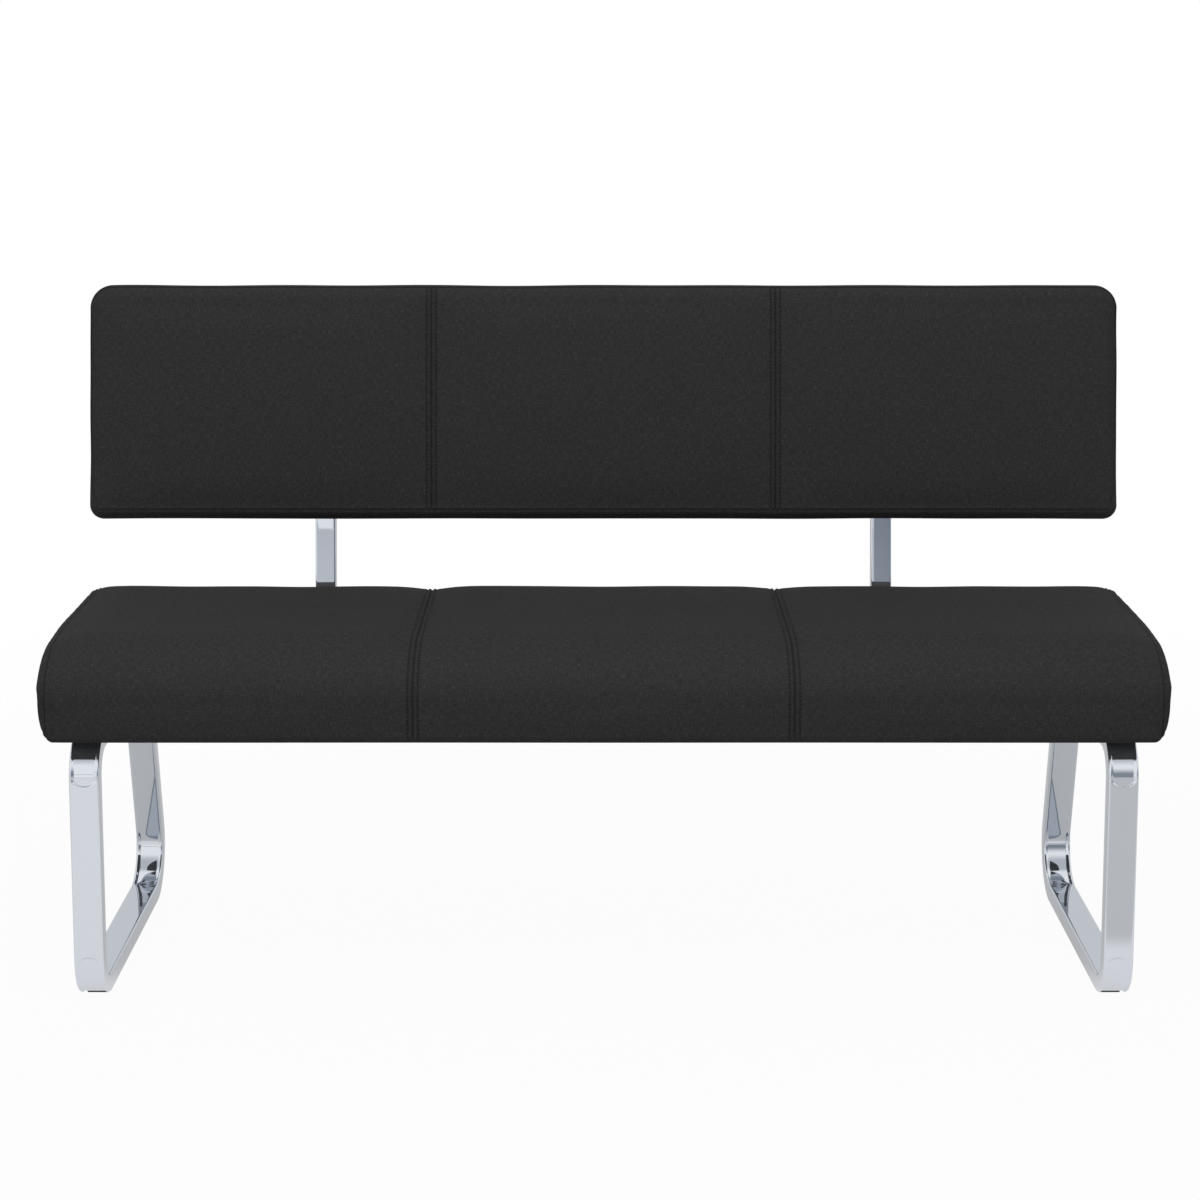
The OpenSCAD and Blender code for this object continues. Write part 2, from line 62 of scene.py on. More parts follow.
def bandFaces(rows, cols, loop=False):
    # Quads between closed rings; in a loop the last ring joins the first
    r, c = np.meshgrid(np.arange(rows if loop else rows - 1), np.arange(cols), indexing="ij")
    d, n = (c + 1) % cols, (r + 1) % rows
    return np.stack([r * cols + c, r * cols + d, n * cols + d, n * cols + c], -1).reshape(-1, 4).tolist()


def ringFaces(rows, cols):
    # Quads between closed rings, and a fan at each end about the two points that follow the rings
    c = np.arange(cols)
    d = (c + 1) % cols
    base = (rows - 1) * cols
    first = np.stack([d, c, np.full(cols, rows * cols)], -1)
    last = np.stack([base + c, base + d, np.full(cols, rows * cols + 1)], -1)
    return bandFaces(rows, cols) + first.tolist() + last.tolist()


def faceOut(piece):
    # Turns all faces round if the volume, the sum of a . (b x c) over the triangles, comes out negative
    mesh = piece.data
    mesh.calc_loop_triangles()
    tris = np.zeros(len(mesh.loop_triangles) * 3, np.int32)
    mesh.loop_triangles.foreach_get("vertices", tris)
    co = np.zeros(len(mesh.vertices) * 3, np.float32)
    mesh.vertices.foreach_get("co", co)
    a, b, c = np.swapaxes(co.reshape(-1, 3).astype(float)[tris.reshape(-1, 3)], 0, 1)
    if np.einsum("ij,ij->i", a, np.cross(b, c)).sum() < 0:
        mesh.flip_normals()
        mesh.update()
    return piece


# Materials

def newMaterial(name, color, metallic=0.0, roughness=0.5):
    # Principled material of one colour; its tree and shader come back with it
    mat = bpy.data.materials.new(name)
    mat.use_nodes = True
    mat.diffuse_color = (*color, 1)
    shader = mat.node_tree.nodes["Principled BSDF"]
    shader.inputs["Base Color"].default_value = (*color, 1)
    shader.inputs["Metallic"].default_value = metallic
    shader.inputs["Roughness"].default_value = roughness
    return mat, mat.node_tree, shader


def addNode(tree, kind, values=None, **settings):
    # Each input takes a plain value or the output of another node
    node = tree.nodes.new("ShaderNode" + kind)
    for key, value in settings.items():
        setattr(node, key, value)
    for key, value in (values or {}).items():
        if isinstance(value, bpy.types.NodeSocket):
            tree.links.new(value, node.inputs[key])
        else:
            node.inputs[key].default_value = value
    return node


def mathNode(tree, operation, first, *others, clamp=False):
    # The operation applied to all values from left to right, or to a single one
    for value in others or (None,):
        pair = {0: first} if value is None else {0: first, 1: value}
        first = addNode(tree, "Math", pair, operation=operation, use_clamp=clamp).outputs[0]
    return first


def product(tree, *values):
    # The values multiplied together
    return mathNode(tree, "MULTIPLY", *values)


def rampNode(tree, source, stops):
    # Colour between the (place, colour) stops at the source's value
    node = addNode(tree, "ValToRGB", {"Fac": source})
    elements = node.color_ramp.elements
    while len(elements) < len(stops):
        elements.new(0.5)
    for element, (place, color) in zip(elements, stops):
        element.position = place
        element.color = (*color, 1)
    return node.outputs["Color"]


def noiseNode(tree, vector, scale, detail=2.0, roughness=0.5):
    # Noise between 0 and 1, read at the vector times the scale
    values = {"Vector": vector, "Scale": scale, "Detail": detail, "Roughness": roughness}
    return addNode(tree, "TexNoise", values).outputs["Fac"]


def bumpNode(tree, height, strength, distance, shader):
    # Tilts the shader's normal by the slope of height times distance
    node = addNode(tree, "Bump", {"Height": height, "Strength": strength, "Distance": distance})
    tree.links.new(node.outputs["Normal"], shader.inputs["Normal"])


def fadeNode(tree, source, a, b):
    # 0 at a and 1 at b, smoothly
    values = {"Value": source, "From Min": a, "From Max": b}
    return addNode(tree, "MapRange", values, interpolation_type="SMOOTHSTEP").outputs["Result"]


def objectPlace(tree):
    # The point's coordinates in its own object
    return addNode(tree, "TexCoord").outputs["Object"]


plate = {"color": (0.745, 0.78, 0.835), "metallic": 0.90, "smearScale": 14, "smooth": 0.006, "rough": 0.014,
         "rippleScale": 22, "ripple": 0.06, "rippleHigh": 0.0004}


def chromeMaterial():
    # Chrome with a faint haze, smears of uneven roughness and a slight ripple
    mat, tree, shader = newMaterial("chrome plate", plate["color"], plate["metallic"], 0.06)
    place = objectPlace(tree)
    smear = noiseNode(tree, place, plate["smearScale"], 3)
    rough = addNode(tree, "MapRange", {"Value": smear, "From Min": 0.3, "From Max": 0.7,
                                                 "To Min": plate["smooth"], "To Max": plate["rough"]})
    tree.links.new(rough.outputs["Result"], shader.inputs["Roughness"])
    ripple = noiseNode(tree, place, plate["rippleScale"], 1)
    bumpNode(tree, ripple, plate["ripple"], plate["rippleHigh"], shader)
    return mat


chrome = chromeMaterial()
print("materials begun")


# Leg loops: one closed band of rounded tube each, with flattened bends

leg = {"x": 0.6875, "w": 0.040, "d": 0.025, "round": 0.0034, "bendR": 0.0455, "rearR": 0.0675,
       "runnerZ": 0.0165, "railZ": 0.3555, "rearY": 0.467, "slope": 17.5, "start": 0.085,
       "step": 0.0009, "beside": 0.012, "across": 25,
       "dent": 0.0020, "crease": 0.0014, "lead": 0.008, "lip": 0.001, "inner": 0.0013, "innerRun": 0.02,
       "rimOut": 0.0065, "rimIn": 0.0025}


def loopPath():
    # Stations along the loop: place (y, z), outward direction, distances into and out of a bend, and 1 in a
    # bend or 0 beside it, where the distances are negative. The rear leg's line touches both of its bends.
    slope = math.radians(leg["slope"])
    rc, bc = leg["rearR"], leg["bendR"]
    low = np.array([leg["rearY"] + rc * math.cos(slope), leg["runnerZ"] + rc + rc * math.sin(slope)])
    rise = (leg["railZ"] - bc - low[1] + bc * math.sin(slope)) / math.cos(slope)
    high = low + rise * np.array([-math.sin(slope), math.cos(slope)])
    topY = high[0] - bc * math.cos(slope)
    bends = [((leg["start"], leg["runnerZ"] + bc), bc, -180, -90),
             ((leg["rearY"], leg["runnerZ"] + rc), rc, -90, leg["slope"]),
             ((topY, leg["railZ"] - bc), bc, leg["slope"], 90),
             ((leg["start"], leg["railZ"] - bc), bc, 90, 180)]
    rows = []
    for centre, radius, a, b in bends:
        length = radius * math.radians(b - a)
        n = int(length / leg["step"]) + 1
        for t in np.linspace(0, 1, n):
            angle = math.radians(a + (b - a) * t)
            out = (math.cos(angle), math.sin(angle))
            place = (centre[0] + radius * out[0], centre[1] + radius * out[1])
            rows.append((*place, *out, t * length, (1 - t) * length, 1))
    path = np.array(rows)
    nextRow = np.roll(path, -1, 0)
    beside = np.arange(leg["step"], leg["beside"], leg["step"])
    filled = []
    for a, b in zip(path, nextRow):
        filled.append(a)
        gap = math.hypot(b[0] - a[0], b[1] - a[1])
        if gap > 2 * leg["beside"]:
            # A straight: rows close together beside its bends, and three more between
            for d in np.concatenate([beside, gap * np.array([0.25, 0.5, 0.75]), gap - beside[::-1]]):
                row = a + (b - a) * d / gap
                row[4:] = (d - gap, -d, 0)
                filled.append(row)
    return np.array(filled)


def tubeSection(w, d, r, across, corner=5):
    # Closed outline of a rounded tube: four quarter circles, and points on the two faces across the bench;
    # first coordinate across the bench, second outward
    hw, hd = w / 2, d / 2
    x, z = hw - r, hd - r
    pts = []
    for cx, cz, start in ((x, z, 0), (-x, z, 90), (-x, -z, 180), (x, -z, 270)):
        for t in np.linspace(0, 90, corner + 1):
            angle = math.radians(start + t)
            pts.append((cx + r * math.cos(angle), cz + r * math.sin(angle)))
        if start in (0, 180):
            sign = -1 if start == 0 else 1
            for s in np.linspace(-1, 1, across + 2)[1:-1]:
                pts.append((sign * s * x, cz - sign * r))
    return np.array(pts)


def sweep(x, path, a, b):
    # Each row's place, moved by a across the bench and by b along the row's outward direction
    return np.stack([np.broadcast_to(x + a, (len(path), a.shape[1])),
                     path[:, 0:1] + path[:, 2:3] * b + bench["noseY"],
                     path[:, 1:2] + path[:, 3:4] * b], -1)


def legLoop(side):
    # The tube's section swept round the loop, its outer and its inner faces dented in the bends
    path = loopPath()
    section = tubeSection(leg["w"], leg["d"], leg["round"], leg["across"])
    a, b = section[:, 0][None, :], section[:, 1][None, :]
    half = leg["w"] / 2
    # A bend's flattened stretch begins with a half round that is as wide as the tube
    reach = half - np.sqrt(np.maximum(half * half - a * a, 0)) + leg["lip"]
    entry, leave, bent = path[:, 4:5], path[:, 5:6], path[:, 6:7]
    into = smoothStep(0, leg["crease"], entry + leg["lead"] - reach)
    outOf = smoothStep(0, leg["crease"], leave + leg["lead"] - reach)
    dented = np.where(bent > 0, np.minimum(into, outOf), np.maximum(into, outOf))
    across = 1 - smoothStep(half - leg["rimOut"], half - leg["rimIn"], np.abs(a))
    outer = (b > 0) * dented * across * leg["dent"]
    pressed = smoothStep(0, leg["innerRun"], entry) * smoothStep(0, leg["innerRun"], leave)
    inner = (b < 0) * pressed * across * leg["inner"]
    points = sweep(side * leg["x"], path, a, b - outer + inner)
    name = "legLoopLeft" if side < 0 else "legLoopRight"
    piece = meshPiece(name, points.reshape(-1, 3), bandFaces(len(path), len(section), loop=True))
    piece.data.materials.append(chrome)
    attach(faceOut(piece), "root")
    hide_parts("leg_frame_left" if side < 0 else "leg_frame_right")


for side in (-1, 1):
    legLoop(side)
print("leg loops done")


# Back posts: foot under the seat, bend, and leaning upright

post = {"x": 0.410, "w": 0.030, "d": 0.020, "round": 0.0026, "start": 0.205, "bendY": 0.445,
        "z": 0.358, "c": 0.028, "lean": 8.0, "length": 0.4359, "step": 0.0022, "across": 9, "tip": 0.004}


def backPost(side):
    # The tube's section swept along its foot, its bend and its upright
    lean = math.radians(post["lean"])
    rows = [(post["start"] + s, post["z"], 0, -1) for s in (0, post["tip"], 0.08, 0.16, 0.23)]
    # The bend turns from level to the lean, about a centre above the foot
    total = 90 - post["lean"]
    n = int(post["c"] * math.radians(total) / post["step"]) + 2
    for t in np.linspace(0, 1, n):
        angle = math.radians(-90 + total * t)
        out = (math.cos(angle), math.sin(angle))
        rows.append((post["bendY"] + post["c"] * out[0], post["z"] + post["c"] + post["c"] * out[1], *out))
    turn = rows[-1]
    across, up = math.sin(lean), math.cos(lean)
    for s in (0.01, 0.1, 0.2, 0.3, 0.4, post["length"] - post["tip"], post["length"]):
        rows.append((turn[0] + s * across, turn[1] + s * up, up, -across))
    path = np.array(rows)
    section = tubeSection(post["w"], post["d"], post["round"], post["across"])
    points = sweep(side * post["x"], path, section[:, 0][None, :], section[:, 1][None, :])
    points = np.concatenate([points.reshape(-1, 3), points[[0, -1]].mean(1)])
    name = "backPostLeft" if side < 0 else "backPostRight"
    piece = meshPiece(name, points, ringFaces(len(path), len(section)))
    piece.data.materials.append(chrome)
    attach(faceOut(piece), "root")
    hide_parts("back_post_left" if side < 0 else "back_post_right")


for side in (-1, 1):
    backPost(side)
print("posts done")


# Cushions: closed rings along x, inflated as cloth on a coarse grid, then sewn on a fine one

def arcPoints(cy, cz, ry, rz, a, b, n):
    # n points of an ellipse about (cy, cz) from angle a to angle b, in degrees
    t = np.radians(np.linspace(a, b, n))
    return np.stack([cy + ry * np.cos(t), cz + rz * np.sin(t)], -1)


def evenly(points, n=2400):
    # A closed outline sampled at n + 1 places at equal steps, and its length
    steps = np.hypot(*np.diff(points, axis=0).T)
    keep = np.concatenate([[True], steps > 1e-7])
    points = points[keep]
    length = np.concatenate([[0], np.cumsum(np.hypot(*np.diff(points, axis=0).T))])
    at = np.linspace(0, length[-1], n + 1)
    return np.stack([np.interp(at, length, points[:, k]) for k in range(points.shape[1])], -1), length[-1]


def stations(total, plain, fine=(), growth=0.22, samples=6000):
    # Places from 0 to total in plain steps, which shrink to the fine step within each (place, half width,
    # fine step) and grow again by a share of the distance beyond it; 1 over the step, summed up, counts them
    at = np.linspace(0, total, samples)
    step = np.full(len(at), plain)
    for place, width, small in fine:
        away = np.maximum(np.abs(at - place) - width, 0)
        step = np.minimum(step, small + away * growth)
    count = np.concatenate([[0], np.cumsum((1 / step[:-1] + 1 / step[1:]) / 2 * np.diff(at))])
    n = int(math.ceil(count[-1]))
    return np.interp(np.linspace(0, count[-1], n + 1), count, at)


def mirrored(reach, plain, fine=()):
    # Stations from -reach to reach, finer at each (place, (half width, fine step)) and at its mirror image
    both = [(reach + side * place, *pair) for place, pair in fine for side in (-1, 1)]
    return stations(2 * reach, plain, both) - reach


def roundOutline(line, length, plain, fine=()):
    # Stations round a closed outline, finer beside its point nearest to each (a, b, (half width, fine step))
    at = np.linspace(0, length, len(line))
    spots = [(at[np.argmin(np.hypot(line[:, 0] - a, line[:, 1] - b))], *pair) for a, b, pair in fine]
    return stations(length, plain, spots)[:-1]


def gridNormals(p):
    # Unit normals of a grid of closed rings: cross product of the steps along and around it
    along = np.gradient(p, axis=0)
    around = np.roll(p, -1, 1) - np.roll(p, 1, 1)
    n = np.cross(along, around)
    return n / np.maximum(np.linalg.norm(n, axis=-1, keepdims=True), 1e-12)


def outwards(rings, flat):
    # Normals of a ring grid, turned to point away from its middle; rows of a flat end face along x
    out = gridNormals(rings)
    if np.einsum("ijk,ijk->", out, rings - rings.mean((0, 1))) < 0:
        out = -out
    out[flat] = np.sign(rings[flat].mean(1))[:, None, :] * np.array([1, 0, 0])
    return out


def readGrid(values, ws, vs, atW, atV, soft=0.0):
    # Values of a grid (ws, vs) at other places, straight between its points or, by the share soft, smooth
    i = np.clip(np.searchsorted(ws, atW) - 1, 0, len(ws) - 2)
    j = np.clip(np.searchsorted(vs, atV) - 1, 0, len(vs) - 2)
    a = np.clip((atW - ws[i]) / (ws[i + 1] - ws[i]), 0, 1)[..., None]
    b = np.clip((atV - vs[j]) / (vs[j + 1] - vs[j]), 0, 1)[..., None]
    a = smoothStep(0, 1, a) * soft + a * (1 - soft)
    b = smoothStep(0, 1, b) * soft + b * (1 - soft)
    first = values[i, j] * (1 - b) + values[i, j + 1] * b
    return first * (1 - a) + (values[i + 1, j] * (1 - b) + values[i + 1, j + 1] * b) * a


def spreadMoves(moved, roughW, roughV, fineW, fineV, length):
    # The coarse grid's moves on the fine one; both run round a closed outline of the given length
    closed = np.concatenate([moved, moved[:, :1]], 1)
    return readGrid(closed, roughW, np.append(roughV, length), fineW[:, None], fineV[None, :], 0.5)


def inflate(name, rings, hold, flat, cloth):
    # How far each point of a ring grid moves when it is blown up as cloth; hold is 1 where it is fixed
    rows, cols = rings.shape[:2]
    ends = rings[[0, -1]].mean(1)
    points = np.concatenate([rings.reshape(-1, 3), ends])
    piece = meshPiece(name + " rough", points, ringFaces(rows, cols))
    faceOut(piece)
    group = piece.vertex_groups.new(name="held")
    weights = np.concatenate([hold.ravel(), [hold[0].mean(), hold[-1].mean()]])
    steps = 20
    levels = np.round(weights * steps).astype(int)
    for level in range(1, steps + 1):
        group.add(np.flatnonzero(levels == level).tolist(), level / steps, "REPLACE")
    soft = piece.modifiers.new("cloth", "CLOTH")
    settings = soft.settings
    settings.quality = 5
    settings.mass = 0.25
    settings.tension_stiffness = cloth["stiff"]
    settings.compression_stiffness = cloth["stiff"]
    settings.shear_stiffness = cloth["stiff"] * 0.4
    settings.bending_stiffness = cloth["bend"]
    settings.use_pressure = True
    settings.uniform_pressure_force = cloth["pressure"]
    settings.effector_weights.gravity = 0
    settings.vertex_group_mass = "held"
    settings.pin_stiffness = 2
    soft.point_cache.frame_start, soft.point_cache.frame_end = 1, cloth["frames"]
    for number in range(1, cloth["frames"] + 1):
        scene.frame_set(number)
    blown = piece.evaluated_get(bpy.context.evaluated_depsgraph_get()).to_mesh()
    co = np.zeros(len(points) * 3, np.float32)
    blown.vertices.foreach_get("co", co)
    moved = co.reshape(-1, 3).astype(float) - points
    far = np.linalg.norm(moved, axis=1, keepdims=True)
    mean, most = (round(float(value) * 1000, 2) for value in (far.mean(), far.max()))
    print(name, "inflated: mean", mean, "most", most, "mm")
    moved *= np.minimum(1, cloth["cap"] / np.maximum(far, 1e-9))
    moved = moved[:-2].reshape(rows, cols, 3)
    for _ in range(cloth["ease"]):
        moved = (np.roll(moved, 1, 1) + 2 * moved + np.roll(moved, -1, 1)) / 4
        moved[1:-1] = (moved[:-2] + 2 * moved[1:-1] + moved[2:]) / 4
    # Padding pushes the cover outwards only
    out = outwards(rings, flat)
    inward = np.minimum((moved * out).sum(-1, keepdims=True), 0)
    moved -= out * inward
    mesh = piece.data
    bpy.data.objects.remove(piece)
    bpy.data.meshes.remove(mesh)
    scene.frame_set(1)
    return moved


def bulge(distance, width):
    # Bell curve: 1 at no distance, and 1/e at the width
    return np.exp(-(distance / width) ** 2)


def channelDip(far, piece):
    # Depth of the shallow channel along a panel seam: dip times the square of 1 less distance over blend
    return piece["dip"] * (1 - np.minimum(np.abs(far - piece["seam"]) / piece["blend"], 1)) ** 2


def wander(a, b, scale, seed):
    # Smooth, seeded unevenness between about -1 and 1: the sum of seven crossed waves
    rng = np.random.default_rng(seed)
    total = 0
    for _ in range(7):
        turn = rng.uniform(0, 2 * math.pi)
        size = rng.uniform(0.6, 1.6) / scale
        wave = 2 * math.pi * size * (a * math.cos(turn) + b * math.sin(turn))
        total = total + np.sin(wave + rng.uniform(0, 6.28))
    return total / 3.2


sewing = {"groove": 0.0017, "grooveW": 0.0013, "row": 0.0068, "rowDip": 0.0009, "rowW": 0.0015,
          "bead": 0.0007, "beadAt": 0.52, "pucker": 0.0005, "puckerReach": 0.016, "puckerScale": 0.021,
          "apart": 0.37, "dark": 0.0008, "rowDark": 0.0011}


def sewn(distance, along, seed):
    # Height of the cloth beside a seam: a narrow groove, a bead, the stitched row and its puckers
    d = np.abs(distance)
    height = -sewing["groove"] * bulge(d, sewing["grooveW"])
    height = height + sewing["bead"] * bulge(d - sewing["row"] * sewing["beadAt"], sewing["rowW"])
    height = height - sewing["rowDip"] * bulge(d - sewing["row"], sewing["rowW"])
    # The puckers of the two sides differ
    side = np.where(distance > 0, sewing["apart"], 0.0)
    ripple = wander(along + side, along * 0 + side, sewing["puckerScale"], seed) * sewing["pucker"]
    reach = bulge(np.maximum(d - sewing["row"], 0), sewing["puckerReach"])
    return height + ripple * smoothStep(0.002, sewing["row"], d) * reach


def cushionPiece(name, rings, ws, vs, length, flatEnds):
    # Mesh of the rings with closed ends; its UV in metres runs along x and round the outline, and on the end
    # faces it is depth and height
    rows, cols = rings.shape[:2]
    points = np.concatenate([rings.reshape(-1, 3), rings[[0, -1]].mean(1)])
    piece = meshPiece(name, points, ringFaces(rows, cols))
    corners = np.zeros(len(piece.data.loops), np.int32)
    piece.data.loops.foreach_get("vertex_index", corners)
    uv = points[corners, 1:]
    row, col = np.divmod(np.arange((rows - 1) * cols), cols)
    along = ws[row[:, None] + (0, 0, 1, 1)]
    around = np.append(vs, length)[col[:, None] + (0, 1, 1, 0)]
    side = (np.abs(ws[row]) <= flatEnds) | (np.abs(ws[row + 1]) <= flatEnds)
    uv[:4 * len(row)].reshape(-1, 4, 2)[side] = np.stack([along, around], -1)[side]
    layer = piece.data.uv_layers.new(name="weave")
    layer.data.foreach_set("uv", uv.astype(np.float32).ravel())
    return piece


def seamShade(w, seam):
    # Painted shade: how dark the cloth gets in a panel seam's groove and, less so, under its two stitched
    # rows
    away = np.abs(np.abs(w) - seam)
    return np.maximum(bulge(away, sewing["dark"]) * 0.8, bulge(away - sewing["row"], sewing["rowDark"]))


def paintSeams(piece, shade):
    # Keeps each point's painted seam shade, which the cloth's material multiplies into its colour
    layer = piece.data.attributes.new("seamShade", "FLOAT", "POINT")
    layer.data.foreach_set("value", np.concatenate([shade.ravel(), [0, 0]]).astype(np.float32))


# Seat cushion

seat = {"depth": 0.455, "base": 0.368, "top": 0.4905, "drop": 0.0005, "noseD": 0.106, "noseH": 0.061,
        "tuck": 0.003, "rearR": 0.018, "baseR": 0.010, "endW": 0.034, "endIn": 0.011, "endLift": 0.046,
        "liftW": 0.0185, "liftH": 0.096, "seam": 0.250, "dip": 0.0030, "blend": 0.060, "endLen": 0.050,
        "capLen": 0.050, "endSeam": 0.50, "shy": 0.0080, "flap": 0.042, "liningT": 0.0016,
        "flare": 0.0075, "flareY": 0.24, "flareX": 0.08, "middle": 0.062, "shrink": 0.985, "dome": 0.0045,
        "low": 0.0012, "lowScale": 0.16, "seed": 3}
seatCloth = {"stiff": 14, "bend": 2.0, "pressure": 4.0, "cap": 0.006, "ease": 2, "frames": 20,
             "seamW": 0.008, "edgeW": 0.009, "edgeShare": 0.8, "hold": 0.85, "foot": 0.014, "calm": 0.35}
# Steps of the seat's grids; the pairs are half width and fine step
seatSteps = {"rough": 0.012, "w": 0.0075, "v": 0.0062, "seam": (0.010, 0.0009), "edge": (0.009, 0.0010),
             "turn": (0.02, 0.0028), "foot": (0.012, 0.0022), "rear": (0.02, 0.004)}
seatPlain = bench["half"] - seat["shy"] - seat["endW"]  # the ends begin to turn here,
seatEdge = seatPlain + seat["endLen"] * seat["endSeam"]  # have their seam here
seatTurned = seatPlain + seat["endLen"]  # and face along x from here
seatReach = seatTurned + seat["capLen"]


def seatOutline():
    # Side outline of the seat from the middle of its underside round the rear, the crown and the nose:
    # quarter circles at its lower and rear edges, and a quarter ellipse for the nose
    s = seat
    rearZ, noseZ = s["top"] - s["drop"], s["base"] + s["noseH"]
    y = np.linspace(s["depth"] - s["rearR"], s["noseD"], 60)
    share = (y - s["noseD"]) / (s["depth"] - s["rearR"] - s["noseD"])
    crown = np.stack([y, s["top"] - s["drop"] * share * share], -1)
    # The underside steps up over the lining
    liningZ = s["base"] + s["liningT"]
    middle = np.array([[s["depth"] / 2, liningZ]])
    rearStep = np.array([[s["depth"] - s["flap"], liningZ], [s["depth"] - s["flap"] + 0.001, s["base"]]])
    frontStep = np.array([[s["flap"] - 0.001, s["base"]], [s["flap"], liningZ]])
    points = np.concatenate([
        middle, rearStep,
        arcPoints(s["depth"] - s["baseR"], s["base"] + s["baseR"], s["baseR"], s["baseR"], -90, 0, 24),
        arcPoints(s["depth"] - s["rearR"], rearZ - s["rearR"], s["rearR"], s["rearR"], 0, 90, 40),
        crown,
        arcPoints(s["noseD"], noseZ, s["noseD"], s["top"] - noseZ, 90, 180, 120),
        arcPoints(s["tuck"] + s["baseR"], s["base"] + s["baseR"], s["baseR"], s["baseR"], 180, 270, 24),
        frontStep, middle])
    return evenly(points)


def softNormals(line, lap=60, narrow=1.8):
    # The outline's normals, averaged over lap points to each side by a bell curve: they are blunter and so
    # draw the ends in without creases at the corners
    turn = np.gradient(np.concatenate([line[-21:-1], line, line[1:21]]), axis=0)[20:-20]
    out = np.stack([turn[:, 1], -turn[:, 0]], -1)
    out /= np.linalg.norm(out, axis=1, keepdims=True)
    share = bulge(np.linspace(-1, 1, 2 * lap + 1) * narrow, 1)
    long = np.concatenate([out[-lap - 1:-1], out, out[1:lap + 1]])
    soft = np.stack([np.convolve(long[:, k], share / share.sum(), "valid") for k in (0, 1)], -1)
    return soft / np.linalg.norm(soft, axis=1, keepdims=True)


seatLine, seatLength = seatOutline()
seatAt = np.linspace(0, seatLength, len(seatLine))
seatSoft = softNormals(seatLine)


def seatRings(ws, vs):
    # The side outline at each place along x, drawn in by a quarter ellipse at the ends and closed by a flat
    s = seat
    line = np.stack([np.interp(vs, seatAt, seatLine[:, k]) for k in (0, 1)], -1)
    soft = np.stack([np.interp(vs, seatAt, seatSoft[:, k]) for k in (0, 1)], -1)
    give = np.clip((line[:, 1] - s["base"] - s["baseR"]) / (s["noseH"] - s["baseR"]), 0, 1)
    side, far = np.sign(ws), np.abs(ws)
    turn = np.clip((far - seatPlain) / s["endLen"], 0, 1) * math.pi / 2
    x = side * (np.minimum(far, seatPlain) + s["endW"] * np.sin(turn))
    inset = s["endIn"] * (1 - np.cos(turn))[:, None, None]
    # The lower edge rises in a quarter ellipse towards each end
    low = 1 - smoothStep(s["base"], s["base"] + s["liftH"], line[:, 1])
    rise = np.clip((np.abs(x) - seatPlain - s["endW"] + s["liftW"]) / s["liftW"], 0, 1)
    lift = s["endLift"] * (1 - np.sqrt(1 - rise * rise))[:, None] * low[None, :]
    flat = np.stack([np.ones_like(low), 1 - low], -1)
    dip = channelDip(far, s)[:, None] * give[None, :]
    yz = line[None] - (soft * flat)[None] * inset - soft[None] * dip[..., None]
    yz[..., 1] += lift
    # The flat of each end shrinks towards a line at its middle
    shrink = np.clip((far - seatTurned) / s["capLen"], 0, s["shrink"])[:, None]
    targetY = np.clip(yz[..., 0], s["middle"], s["depth"] - s["middle"])
    targetZ = np.full_like(targetY, s["base"] + s["noseH"])
    y = yz[..., 0] * (1 - shrink) + targetY * shrink
    z = yz[..., 1] * (1 - shrink) + targetZ * shrink
    # Each end reaches a little further out towards the rear
    outer = smoothStep(seatPlain - s["flareX"], seatPlain + s["endW"], np.abs(x))
    flare = s["flare"] * smoothStep(0.0, s["flareY"], y) * outer[:, None]
    return np.stack([x[:, None] + side[:, None] * flare, y + bench["noseY"], z], -1)


def seatCushion():
    # Rings, plus the cloth's moves, plus the seams' height along the normals
    s, steps, cloth = seat, seatSteps, seatCloth
    roughW = mirrored(seatReach, steps["rough"])
    roughV = roundOutline(seatLine, seatLength, steps["rough"])
    rough = seatRings(roughW, roughV)
    far = np.abs(roughW)
    edges = bulge(far - seatEdge, cloth["edgeW"]) * cloth["edgeShare"]
    seams = np.maximum(bulge(far - s["seam"], cloth["seamW"]), edges) * cloth["hold"]
    foot = 1 - smoothStep(s["base"] + 0.001, s["base"] + cloth["foot"], rough[..., 2])
    hold = np.maximum(foot, seams[:, None])
    moved = np.zeros_like(rough)
    moved = inflate("seat", rough, hold, far > seatTurned, cloth)
    fineW = mirrored(seatReach, steps["w"], [(s["seam"], steps["seam"]), (seatEdge, steps["edge"]),
                                             (seatEdge, steps["turn"])])
    fineV = roundOutline(seatLine, seatLength, steps["v"], [
        (s["depth"] - 0.003, s["base"] + 0.003, steps["foot"]), (0.006, s["base"] + 0.003, steps["foot"]),
        (s["depth"] - 0.008, s["top"] - 0.015, steps["rear"])])
    print("seat grid", len(fineW), len(fineV))
    # The flat of each end swells evenly instead, so it has no ridge where its rings close
    far = np.abs(fineW)
    within = np.clip((far - seatTurned) / s["capLen"], 0, 1)[:, None]
    calm = 1 - smoothStep(0, cloth["calm"], within)
    moves = spreadMoves(moved, roughW, roughV, fineW, fineV, seatLength)
    rings = seatRings(fineW, fineV) + moves * calm[..., None]
    rings[..., 0] += np.sign(fineW)[:, None] * s["dome"] * (1 - (1 - within) ** 2)
    out = outwards(rings, far > seatTurned)
    w, v = fineW[:, None], fineV[None, :]
    above = smoothStep(s["base"] + 0.001, s["base"] + 0.012, rings[..., 2])
    height = s["low"] * (wander(w, v, s["lowScale"], s["seed"]) + 1) * 0.5 * calm
    for side in (-1, 1):
        height = height + sewn(w - side * s["seam"], v, s["seed"] + 4 + side)
        height = height + sewn(w - side * seatEdge, v, s["seed"] + 8 + side) * 0.55
    rings = rings + out * (height * above)[..., None]
    piece = cushionPiece("seatCushion", rings, fineW, fineV, seatLength, seatEdge)
    # Painted shade along the seams round the seat's ends, as in the panel seams
    ends = bulge(np.abs(w) - seatEdge, 0.0012) * 0.7
    paintSeams(piece, np.maximum(seamShade(w, s["seam"]), ends) * above)
    return faceOut(piece), rings, out, fineW, fineV


